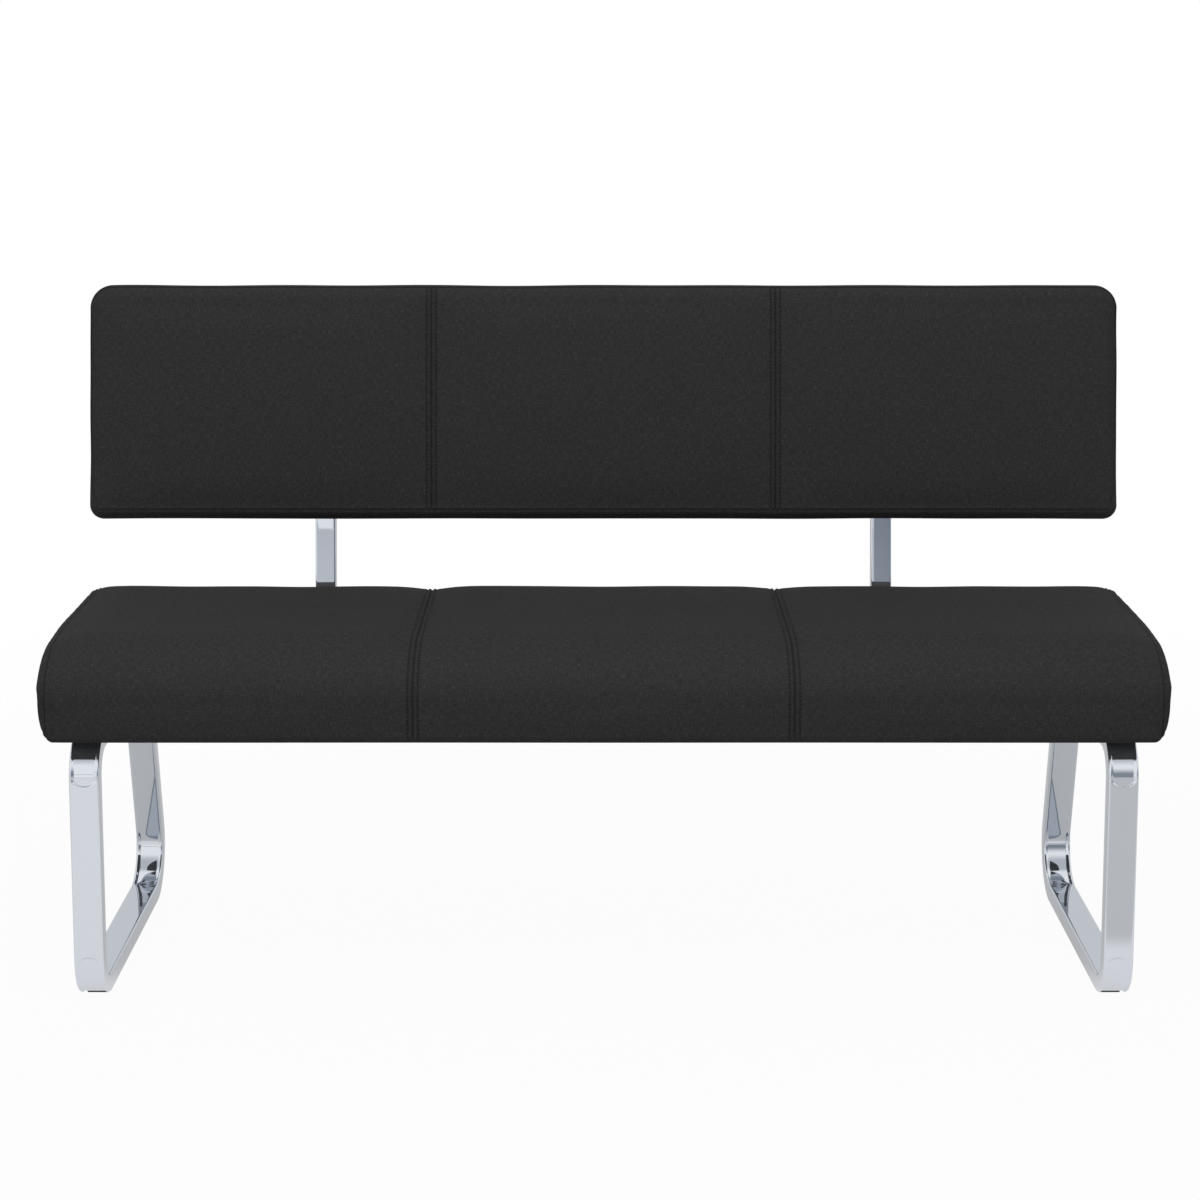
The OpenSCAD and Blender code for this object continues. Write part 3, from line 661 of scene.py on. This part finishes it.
seatPiece, seatGrid, seatNormals, seatW, seatV = seatCushion()
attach(seatPiece, "root")
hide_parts("seat_cover_left", "seat_cover_centre", "seat_cover_right", "seat_end_left",
            "seat_end_right")
print("seat cushion done")


# Backrest cushion, drawn upright in its own frame: y = 0 is its rear, z = 0 its lower edge

back = {"h": 0.340, "seamY": -0.038, "edgeR": 0.022, "topR": 0.0335, "lowR": 0.020, "lowEdge": 0.014,
        "crown": 0.003, "lean": 8.0, "y": 0.4911, "z": 0.58465, "seam": 0.250, "dip": 0.0030, "blend": 0.060,
        "rearIn": 0.0026, "endLen": 0.0346, "capLen": 0.017, "edgeSeam": 0.0034, "lowSeam": 0.0130,
        "shy": 0.0012, "middle": 0.019, "shrink": 0.94, "rim": 0.0014, "rimW": 0.0012, "low": 0.0010,
        "lowScale": 0.16, "seed": 11}
backCloth = {"stiff": 14, "bend": 2.0, "pressure": 3.0, "cap": 0.005, "ease": 2, "frames": 20,
             "seamW": 0.008, "hold": 0.85, "rimW": 0.006, "rimShare": 0.6, "endShare": 0.40,
             "rear": (-0.030, -0.012), "foot": (0.003, 0.018)}
# Steps of the backrest's grids; the pairs are half width and fine step
backSteps = {"rough": 0.012, "roughTurn": (0.02, 0.006), "w": 0.0078, "v": 0.0070,
             "seam": (0.010, 0.0009), "edge": (0.006, 0.0010), "turn": (0.02, 0.0028),
             "low": (0.007, 0.0010), "round": (0.015, 0.0028), "lip": (0.005, 0.0008)}
backHalf = bench["half"] - back["shy"]
backFlat = backHalf - back["edgeR"]  # the ends begin to turn here
backTurned = backFlat + back["endLen"]  # and have turned here
backReach = backTurned + back["capLen"]


def backInside(x, z):
    # How far a point lies inside the rounded outline: the corner's radius less the distance from its centre,
    # or the distance from the nearest side
    r = np.where(z > back["h"] / 2, back["topR"], back["lowR"])
    qx = np.abs(x) - (backHalf - r)
    qz = np.abs(z - back["h"] / 2) - (back["h"] / 2 - r)
    return r - np.hypot(np.maximum(qx, 0), np.maximum(qz, 0)) - np.minimum(np.maximum(qx, qz), 0)


def backRim(x, z):
    # Distance inwards from the seam that runs round the backrest; at the bottom it lies higher on the front
    seam = back["lowSeam"] + (back["edgeSeam"] - back["lowSeam"]) * smoothStep(0.012, 0.060, z)
    return backInside(x, z) - seam


def backFront(x, z):
    # Front face: the border's seam, less the rounding (a quarter ellipse) and the crown (a parabola over the
    # height); the rounding is narrower along the lower edge
    wide = back["lowEdge"] + (back["edgeR"] - back["lowEdge"]) * smoothStep(0.0, 0.07, z)
    d = np.clip(backInside(x, z), 0, wide)
    r = back["edgeR"]
    rise = r * np.sqrt(np.maximum(1 - (1 - d / wide) ** 2, 0))
    crown = back["crown"] * (1 - (2 * z / back["h"] - 1) ** 2) - channelDip(np.abs(x), back)
    return back["seamY"] - rise - crown * (rise / r) ** 2


def backOutline():
    # Closed outline at the middle as (height, y): the rear with its lips, and the front's rounded face
    rearIn, h = back["rearIn"], back["h"]
    z = h * (1 - np.cos(np.linspace(0, math.pi, 900))) / 2
    front = np.stack([z, backFront(0 * z, z)], -1)
    lip = [(0.5 * h, -rearIn), (0.0022, -rearIn), (0.0020, -0.0002),
           (0.0014, 0), (0.0006, -0.0004), (0, -0.0018)]
    low = np.array(lip)
    high = np.array([(h - a, b) for a, b in reversed(lip)])
    return evenly(np.concatenate([low, front, high]))


backLine, backLength = backOutline()
backAt = np.linspace(0, backLength, len(backLine))


def backRings(ws, vs):
    # Rings in the backrest's own frame: the outline at each x, squeezed between the rounded corners
    half, h = backHalf, back["h"]
    zy = np.stack([np.interp(vs, backAt, backLine[:, k]) for k in (0, 1)], -1)
    onFront = (zy[:, 1] < back["seamY"] + 1e-5)[None, :]
    side, far = np.sign(ws), np.abs(ws)
    turn = np.clip((far - backFlat) / back["endLen"], 0, 1) * math.pi / 2
    x = side * (np.minimum(far, backFlat) + back["edgeR"] * np.sin(turn))
    insets = []
    for r in (back["lowR"], back["topR"]):
        short = np.maximum(r - (half - np.abs(x)), 0)
        insets.append((r - np.sqrt(np.maximum(r * r - short * short, 0)))[:, None])
    z = insets[0] + (h - insets[0] - insets[1]) * (zy[:, 0] / h)[None, :]
    xs = np.broadcast_to(x[:, None], z.shape)
    y = np.where(onFront, backFront(xs, z), zy[None, :, 1])
    # The rear lip closes over the recess at the very ends
    inside = (zy[:, 0] > 0.0021) & (zy[:, 0] < h - 0.0021) & (zy[:, 1] < -0.0001)
    recess = inside[None, :] & ~onFront
    y = np.where(recess & (far[:, None] > half - 0.0023), 0, y)
    shrink = np.clip((far - backTurned) / back["capLen"], 0, back["shrink"])[:, None]
    targetZ = np.clip(z, insets[0] + back["middle"], h - insets[1] - back["middle"])
    z = z * (1 - shrink) + targetZ * shrink
    y = y * (1 - shrink) + back["seamY"] / 2 * shrink
    return np.stack([xs, y, z], -1)


def leaned(p):
    # From the backrest's own frame to the bench's: turned back by the lean, and moved to its foot
    t = math.radians(back["lean"])
    y, z = p[..., 1], p[..., 2]
    return np.stack([p[..., 0], back["y"] + bench["noseY"] + y * math.cos(t) + z * math.sin(t),
                     back["z"] - y * math.sin(t) + z * math.cos(t)], -1)


def backCushion():
    # Rings, plus the cloth's moves, plus the seams' height along the normals, and then leaned back
    steps, cloth, h = backSteps, backCloth, back["h"]
    roughW = mirrored(backReach, steps["rough"], [(backFlat + 0.02, steps["roughTurn"])])
    roughV = roundOutline(backLine, backLength, steps["rough"],
                          [(z, -0.053, steps["roughTurn"]) for z in (0.006, h - 0.006)])
    rough = backRings(roughW, roughV)
    far = np.abs(roughW)
    rear = smoothStep(*cloth["rear"], rough[..., 1])
    seams = bulge(far - back["seam"], cloth["seamW"]) * cloth["hold"]
    ends = smoothStep(backFlat - 0.004, backFlat + 0.012, far) * cloth["endShare"]
    rim = bulge(backRim(rough[..., 0], rough[..., 2]), cloth["rimW"]) * (rough[..., 1] < back["seamY"])
    foot = (1 - smoothStep(*cloth["foot"], rough[..., 2])) * cloth["hold"]
    hold = np.maximum(np.maximum(rear, np.maximum(seams, ends)[:, None]), rim * cloth["rimShare"])
    hold = np.maximum(hold, foot)
    moved = np.zeros_like(rough)
    moved = inflate("back", rough, hold, far > backTurned, cloth)
    # The end seam lies where the rounding is edgeSeam short of its full width
    turnSeam = backFlat + back["endLen"] * math.asin(1 - back["edgeSeam"] / back["edgeR"]) / (math.pi / 2)
    turnMiddle = backFlat + back["endLen"] * 0.6
    fineW = mirrored(backReach, steps["w"], [(back["seam"], steps["seam"]), (turnSeam, steps["edge"]),
                                             (turnMiddle, steps["turn"])])
    fineV = roundOutline(backLine, backLength, steps["v"], [
        (back["lowSeam"], -0.056, steps["low"]), (h - back["edgeSeam"], -0.050, steps["edge"]),
        (0.003, -0.045, steps["round"]), (h - 0.003, -0.045, steps["round"]),
        (0.001, -0.001, steps["lip"]), (h - 0.001, -0.001, steps["lip"])])
    print("back grid", len(fineW), len(fineV))
    upright = backRings(fineW, fineV)
    rings = upright + spreadMoves(moved, roughW, roughV, fineW, fineV, backLength)
    out = outwards(rings, np.abs(fineW) > backTurned)
    w, v = fineW[:, None], fineV[None, :]
    front = 1 - smoothStep(-0.030, -0.016, upright[..., 1])
    height = back["low"] * (wander(w, v, back["lowScale"], back["seed"]) + 1) * 0.5
    rim = backRim(upright[..., 0], upright[..., 2])
    onFace = upright[..., 1] < back["seamY"]
    inner = smoothStep(-0.004, 0.004, rim)
    for side in (-1, 1):
        height = height + sewn(w - side * back["seam"], v, back["seed"] + 4 + side) * inner
    # The seam round the rim is half as deep near the lower edge, and has a slight bead inside it
    firm = 0.5 + 0.5 * smoothStep(0.02, 0.08, upright[..., 2])
    height = height - back["rim"] * firm * bulge(rim, back["rimW"]) * onFace
    height = height + 0.0004 * bulge(rim - 0.004, 0.003) * onFace
    rings = leaned(rings + out * (height * front)[..., None])
    piece = cushionPiece("backCushion", rings, fineW, fineV, backLength, backFlat + back["endLen"] * 0.98)
    # Painted shade in the seam round the rim, half as dark near the lower edge where the seam is shallower
    rimShade = bulge(rim, sewing["rowDark"]) * onFace * firm
    paintSeams(piece, np.maximum(seamShade(w, back["seam"]) * inner, rimShade) * front)
    out = leaned(out) - leaned(np.zeros(3))
    return faceOut(piece), rings, out, fineW, fineV, upright


backPiece, backGrid, backNormals, backW, backV, backUpright = backCushion()
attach(backPiece, "root")
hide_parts("back_cover_left", "back_cover_centre", "back_cover_right", "back_border")
print("back cushion done")


# Cloth of both cushions and of the rear panel: scales are in cells for each metre, the pitch in metres

weave = {"pitch": 0.00105, "warp": (135, 760, 1), "weft": (720, 126, 1), "light": (0.60, 0.74),
         "dark": (0.40, 0.27), "darkShare": 0.85, "fleck": 0.135, "cross": 0.09, "cloudScale": 26.0,
         "cloud": 0.05, "ground": 0.475, "bump": 0.35, "high": 0.00025, "seamShadeTone": (0.45, 0.45, 0.45, 1),
         "tones": [(0.0, (0.0130, 0.0130, 0.0131)), (0.5, (0.0345, 0.0345, 0.0347)),
                   (1.0, (0.0680, 0.0680, 0.0684))]}


def fabricMaterial(name, planeOf):
    # Charcoal plain weave: threads cross as the product of two sines, with flecks and a faint cloudiness;
    # planeOf(tree) gives a vector whose x and y run along the cloth, in metres
    mat, tree, shader = newMaterial(name, (0.034, 0.034, 0.034), 0.0, 0.9)
    plane = planeOf(tree)
    split = addNode(tree, "SeparateXYZ", {0: plane})
    # Slubs: sparse short flecks along the warp and the weft, lighter or darker than the ground
    flecks = []
    for scale in (weave["warp"], weave["weft"]):
        along = addNode(tree, "Mapping", {"Vector": plane, "Scale": scale})
        slub = noiseNode(tree, along.outputs["Vector"], 1.0, 0.0, 0.5)
        light = fadeNode(tree, slub, *weave["light"])
        dark = product(tree, fadeNode(tree, slub, *weave["dark"]), weave["darkShare"])
        flecks.append(mathNode(tree, "SUBTRACT", light, dark))
    turns = [product(tree, split.outputs[k], 2 * math.pi / weave["pitch"]) for k in (0, 1)]
    cross = product(tree, *[mathNode(tree, "SINE", turn) for turn in turns])
    slubs = mathNode(tree, "ADD", *flecks)
    cloud = noiseNode(tree, plane, weave["cloudScale"], 3.0, 0.6)
    tone = mathNode(tree, "ADD", product(tree, slubs, weave["fleck"]),
                    product(tree, cross, weave["cross"]),
                    product(tree, cloud, weave["cloud"]))
    tone = mathNode(tree, "ADD", tone, weave["ground"], clamp=True)
    color = rampNode(tree, tone, weave["tones"])
    # Painted shade in the seams and under the stitched rows, from the seamShade attribute, multiplied into
    # the colour
    seam = addNode(tree, "Attribute", attribute_name="seamShade").outputs["Fac"]
    shaded = addNode(tree, "Mix", {"Factor": seam, "A": color, "B": weave["seamShadeTone"]},
                     data_type="RGBA", blend_type="MULTIPLY")
    tree.links.new(shaded.outputs["Result"], shader.inputs["Base Color"])
    height = product(tree, mathNode(tree, "ADD", cross, slubs), 0.5)
    bumpNode(tree, height, weave["bump"], weave["high"], shader)
    shader.inputs["Specular IOR Level"].default_value = 0.08
    return mat


def onCloth(tree):
    # The cushions' own UV, in metres
    return addNode(tree, "UVMap", uv_map="weave").outputs["UV"]


def onPanel(tree):
    # Length and height of the object itself, for a panel without a UV map
    x, y, z = addNode(tree, "SeparateXYZ", {0: objectPlace(tree)}).outputs
    return addNode(tree, "CombineXYZ", {0: x, 1: z}).outputs[0]


fabric = fabricMaterial("charcoal weave", onCloth)
for piece in (seatPiece, backPiece):
    piece.data.materials.append(fabric)


# Looks of the parts that stay as built

def dress(mat, *names):
    # Gives each named node the one material
    for name in names:
        nodes[name].data.materials.clear()
        nodes[name].data.materials.append(mat)


def grainyMaterial(name, color, metallic, roughness, scale, stretch=(1, 1, 1), spread=0.25, bump=0.0001):
    # A plain colour with fine procedural unevenness in tone, roughness and height
    mat, tree, shader = newMaterial(name, color, metallic, roughness)
    along = addNode(tree, "Mapping", {"Vector": objectPlace(tree), "Scale": stretch})
    grain = noiseNode(tree, along.outputs["Vector"], scale, 4.0, 0.6)
    darker, lighter = [c * (1 - spread) for c in color], [min(1, c * (1 + spread)) for c in color]
    tree.links.new(rampNode(tree, grain, [(0.3, darker), (0.7, lighter)]), shader.inputs["Base Color"])
    rough = addNode(tree, "MapRange", {"Value": grain, "To Min": roughness * 0.85,
                                                 "To Max": min(1, roughness * 1.15)})
    tree.links.new(rough.outputs["Result"], shader.inputs["Roughness"])
    bumpNode(tree, grain, 0.4, bump, shader)
    return mat


dress(fabricMaterial("charcoal weave, rear panel", onPanel), "back_rear_panel")
dress(grainyMaterial("open-cell foam", (0.78, 0.70, 0.42), 0.0, 0.95, 900, bump=0.0006),
      "seat_foam", "back_foam")
dress(grainyMaterial("raw plywood", (0.55, 0.38, 0.20), 0.0, 0.7, 60, (1, 14, 14), 0.3),
      "seat_board", "back_board")
dress(grainyMaterial("black lining", (0.015, 0.015, 0.016), 0.0, 0.95, 700, (1, 2.5, 1), 0.35, 0.0002),
      "seat_lining")
dress(grainyMaterial("zinc plate", (0.50, 0.51, 0.53), 1.0, 0.35, 240, spread=0.12),
      "lining_staples", "seat_inserts", "back_inserts", "leg_washers", "post_washers", "back_washers")
dress(grainyMaterial("plated bolt steel", (0.42, 0.43, 0.45), 1.0, 0.30, 300, spread=0.12),
      "leg_bolts", "post_bolts", "back_bolts")
dress(grainyMaterial("black plastic", (0.012, 0.012, 0.013), 0.0, 0.45, 800, spread=0.2),
      "glide_front_left", "glide_front_right", "glide_rear_left", "glide_rear_right", "post_caps")


# Stitches: two rows beside each seam, each stitch a small strand that dips into the cloth at its ends

thread = {"step": 0.0056, "long": 0.0032, "r": 0.00055, "sink": 0.00015, "sides": 6, "shine": 0.15,
          "twist": 900.0, "uneven": 0.5, "bump": 0.3, "high": 0.0002,
          "shape": ((-0.50, 0.35, -1.0), (-0.34, 0.85, -0.2), (0.34, 0.85, -0.2), (0.50, 0.35, -1.0))}


def stitchPiece(name, spots, ahead, up):
    # One strand at each spot, lying along ahead on a surface that faces up; its shape lists rings of
    # (place along, half width, lift), the last two in the thread's radius
    up = up / np.linalg.norm(up, axis=1, keepdims=True)
    ahead = ahead - up * (ahead * up).sum(1, keepdims=True)
    ahead = ahead / np.linalg.norm(ahead, axis=1, keepdims=True)
    across = np.cross(ahead, up)
    shape, sides = thread["shape"], thread["sides"]
    rows = []
    for place, wide, lift in shape:
        for k in range(sides):
            angle = 2 * math.pi * k / sides
            beside = across * math.cos(angle) * wide * thread["r"]
            above = up * ((math.sin(angle) * wide + lift) * thread["r"] + thread["sink"])
            rows.append(spots + ahead * place * thread["long"] + beside + above)
    points = np.stack(rows, 1)
    strip = [tuple(range(sides))[::-1], tuple(range((len(shape) - 1) * sides, len(shape) * sides))]
    strip = bandFaces(len(shape), sides) + strip
    base = np.arange(len(spots))[:, None] * len(rows)
    faces = []
    for face in strip:
        faces += (base + np.array(face)[None, :]).tolist()
    piece = meshPiece(name, points.reshape(-1, 3), faces)
    piece.data.materials.append(threadMaterial)
    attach(faceOut(piece), "root")
    print(name, len(spots), "stitches")


def seamRows(grid, normals, ws, vs, lines, fits):
    # Places, directions and normals of stitches along lines of constant w where fits(place, v) holds
    spots, ahead, up = [], [], []
    for w in lines:
        v = np.arange(vs[0] + 0.003, vs[-1] - 0.003, thread["step"])
        at = np.full(len(v), w)
        here = readGrid(grid, ws, vs, at, v)
        there = readGrid(grid, ws, vs, at, v + 0.001)
        keep = fits(here, v)
        spots.append(here[keep])
        ahead.append((there - here)[keep])
        up.append(readGrid(normals, ws, vs, at, v)[keep])
    return np.concatenate(spots), np.concatenate(ahead), np.concatenate(up)


threadMaterial, threadTree, threadShader = newMaterial("thread", (0.040, 0.040, 0.040), 0.0, 0.7)
threadShader.inputs["Specular IOR Level"].default_value = thread["shine"]
twist = addNode(threadTree, "TexWave", {"Vector": objectPlace(threadTree), "Scale": thread["twist"],
                                        "Distortion": thread["uneven"]})
bumpNode(threadTree, twist.outputs["Fac"], thread["bump"], thread["high"], threadShader)
offsets = [seam + d for seam in (-seat["seam"], seat["seam"]) for d in (-sewing["row"], sewing["row"])]
stitchPiece("seatStitches", *seamRows(seatGrid, seatNormals, seatW, seatV, offsets,
                                      lambda p, v: p[:, 2] > seat["base"] + 0.008))
frontV = backV[(backUpright[len(backW) // 2, :, 1] < back["seamY"] - 0.012)]
stitchPiece("backStitches", *seamRows(backGrid, backNormals, backW, backV, offsets,
                                      lambda p, v: (v > frontV[0] + 0.004) & (v < frontV[-1] - 0.004)))
print("stitches done")


# Floor, light and camera

# The pairs are where a zone's share is 0 and where it is 1, in metres
stage = {"half": 9, "glossy": 0.72, "near": 0.96, "nearTo": (0.9, 3.0), "right": (-0.25, 0.55),
         "ahead": (-0.47, -0.56), "aheadDim": 0.36, "behind": (-0.24, -0.05), "behindDim": 0.34,
         "deepDim": 0.80}


def whiteStage(name):
    # Pale floor that the camera and reflections see as white, with the object's shadow kept on it
    w = stage["half"]
    points = np.array([(-w, -w, 0), (w, -w, 0), (w, w, 0), (-w, w, 0)], float)
    floor = meshPiece(name, points, [(0, 1, 2, 3)], smooth=False)
    mat, tree, shader = newMaterial(name, (0.62, 0.62, 0.62), 0.0, 0.9)
    shader.inputs["Specular IOR Level"].default_value = 0.1
    seen = addNode(tree, "LightPath").outputs
    spot = objectPlace(tree)
    x, y, z = addNode(tree, "SeparateXYZ", {0: spot}).outputs
    # Far from the bench the camera sees the backdrop's own white
    away = addNode(tree, "VectorMath", {0: spot}, operation="LENGTH")
    far = fadeNode(tree, away.outputs["Value"], *stage["nearTo"])
    white = mathNode(tree, "ADD", product(tree, far, 1 - stage["near"]), stage["near"])
    rays = mathNode(tree, "ADD", product(tree, seen["Is Camera Ray"], white),
                    product(tree, seen["Is Glossy Ray"], stage["glossy"]))
    rays = mathNode(tree, "ADD", rays, seen["Is Transmission Ray"], clamp=True)
    # Reflections see the floor fall off towards the front right, and behind the bench; under the bench this
    # is painted shadow, and at the second reflection they see the floor nearly black, as painted shade
    ahead = product(tree, fadeNode(tree, x, *stage["right"]), fadeNode(tree, y, *stage["ahead"]),
                    stage["aheadDim"])
    behind = product(tree, fadeNode(tree, y, *stage["behind"]), stage["behindDim"])
    deep = product(tree, mathNode(tree, "GREATER_THAN", seen["Ray Depth"], 1.5), stage["deepDim"])
    fall = product(tree, mathNode(tree, "MAXIMUM", ahead, behind, deep), seen["Is Glossy Ray"])
    glow = addNode(tree, "Emission",
                   {"Color": (1, 1, 1, 1), "Strength": mathNode(tree, "SUBTRACT", 1.0, fall)})
    mix = addNode(tree, "MixShader", {0: rays, 1: shader.outputs[0], 2: glow.outputs[0]})
    tree.links.new(mix.outputs[0], tree.nodes["Material Output"].inputs["Surface"])
    floor.data.materials.append(mat)


whiteStage("floor")

# The pairs are where a zone's share is 0 and where it is 1, as components of the ray's direction
studio = {"light": 0.45, "right": (-0.10, 0.13), "rightDim": 0.92, "rightUnder": (0.42, 0.10),
          "bandTop": (0.1022, 0.1012), "bandFoot": (0.066, 0.078), "bandDim": 0.50,
          "high": (0.45, 0.75), "highDim": 0.55, "front": (0.0, -0.3),
          "rear": (0.1, 0.6), "rearUnder": (0.9, 0.5), "rearDim": 0.42,
          "deepDim": 0.85, "up": (0.60, 0.72), "upLess": 0.45,
          "bright": (1, 1, 1), "grey": (0.60, 0.615, 0.64), "dark": (0.16, 0.19, 0.235)}


def studioWorld():
    # White for the camera, an even light for the cloth, and a studio with darker zones for the metal
    world = bpy.data.worlds.new("studio")
    scene.world = world
    world.use_nodes = True
    tree = world.node_tree
    light = tree.nodes["Background"]
    light.inputs["Color"].default_value = (1, 1, 1, 1)
    light.inputs["Strength"].default_value = studio["light"]
    rays = addNode(tree, "LightPath").outputs
    seen = mathNode(tree, "ADD", rays["Is Camera Ray"], rays["Is Glossy Ray"])
    seen = mathNode(tree, "ADD", seen, rays["Is Transmission Ray"], clamp=True)
    generated = addNode(tree, "TexCoord").outputs["Generated"]
    x, y, z = addNode(tree, "SeparateXYZ", {0: generated}).outputs
    # In front: a dim band just above the horizon, more so on the right, and dimmer high up
    band = product(tree, fadeNode(tree, z, *studio["bandTop"]), studio["bandDim"],
                   fadeNode(tree, z, *studio["bandFoot"]))
    right = product(tree, fadeNode(tree, x, *studio["right"]), studio["rightDim"],
                    fadeNode(tree, z, *studio["rightUnder"]))
    high = product(tree, fadeNode(tree, z, *studio["high"]), studio["highDim"])
    front = product(tree, mathNode(tree, "MAXIMUM", band, right, high), fadeNode(tree, y, *studio["front"]))
    rear = product(tree, fadeNode(tree, y, *studio["rear"]), fadeNode(tree, z, *studio["rearUnder"]),
                   studio["rearDim"])
    # Painted shade: nearly black at the second reflection, less so upwards; the depth counts one more than
    # in the floor
    deep = mathNode(tree, "GREATER_THAN", rays["Ray Depth"], 2.5)
    upward = product(tree, fadeNode(tree, z, *studio["up"]), studio["upLess"])
    deep = product(tree, deep, mathNode(tree, "SUBTRACT", studio["deepDim"], upward))
    dim = product(tree, mathNode(tree, "MAXIMUM", front, rear, deep), rays["Is Glossy Ray"])
    color = rampNode(tree, dim, [(0.0, studio["bright"]), (0.5, studio["grey"]), (1.0, studio["dark"])])
    glow = addNode(tree, "Background", {"Color": color, "Strength": 1.0})
    mix = addNode(tree, "MixShader", {0: seen, 1: light.outputs[0], 2: glow.outputs[0]})
    tree.links.new(mix.outputs[0], tree.nodes["World Output"].inputs["Surface"])


studioWorld()


def areaLamp(name, place, target, size, power):
    # White rectangle of light that faces the target and shows in no reflection
    lamp = bpy.data.lights.new(name, "AREA")
    lamp.shape = "RECTANGLE"
    lamp.size, lamp.size_y = size
    lamp.energy = power
    holder = bpy.data.objects.new(name, lamp)
    collection.objects.link(holder)
    holder.location = place
    holder.rotation_euler = (Vector(target) - Vector(place)).to_track_quat("-Z", "Y").to_euler()
    holder.visible_glossy = False


areaLamp("key", (-0.5, -2.0, 3.6), (0, 0, 0.5), (2.8, 1.8), 64)
areaLamp("fill", (2.2, -3.4, 2.0), (0, 0, 0.5), (2.2, 1.6), 9)
areaLamp("rim", (0.4, 2.6, 2.6), (0, 0, 0.6), (3.0, 1.2), 9.5)

camera = {"place": (-0.0050, -3.7235, 1.271), "pitch": 8.58, "lens": 81.3, "shift": -0.12}
eye = bpy.data.cameras.new("camera")
eye.sensor_width = 36
eye.lens = camera["lens"]
eye.shift_y = camera["shift"]
eye.clip_start, eye.clip_end = 0.05, 60
eyeHolder = bpy.data.objects.new("camera", eye)
collection.objects.link(eyeHolder)
eyeHolder.location = camera["place"]
eyeHolder.rotation_euler = (math.radians(90 - camera["pitch"]), 0, 0)
scene.camera = eyeHolder

scene.view_settings.view_transform = "Standard"
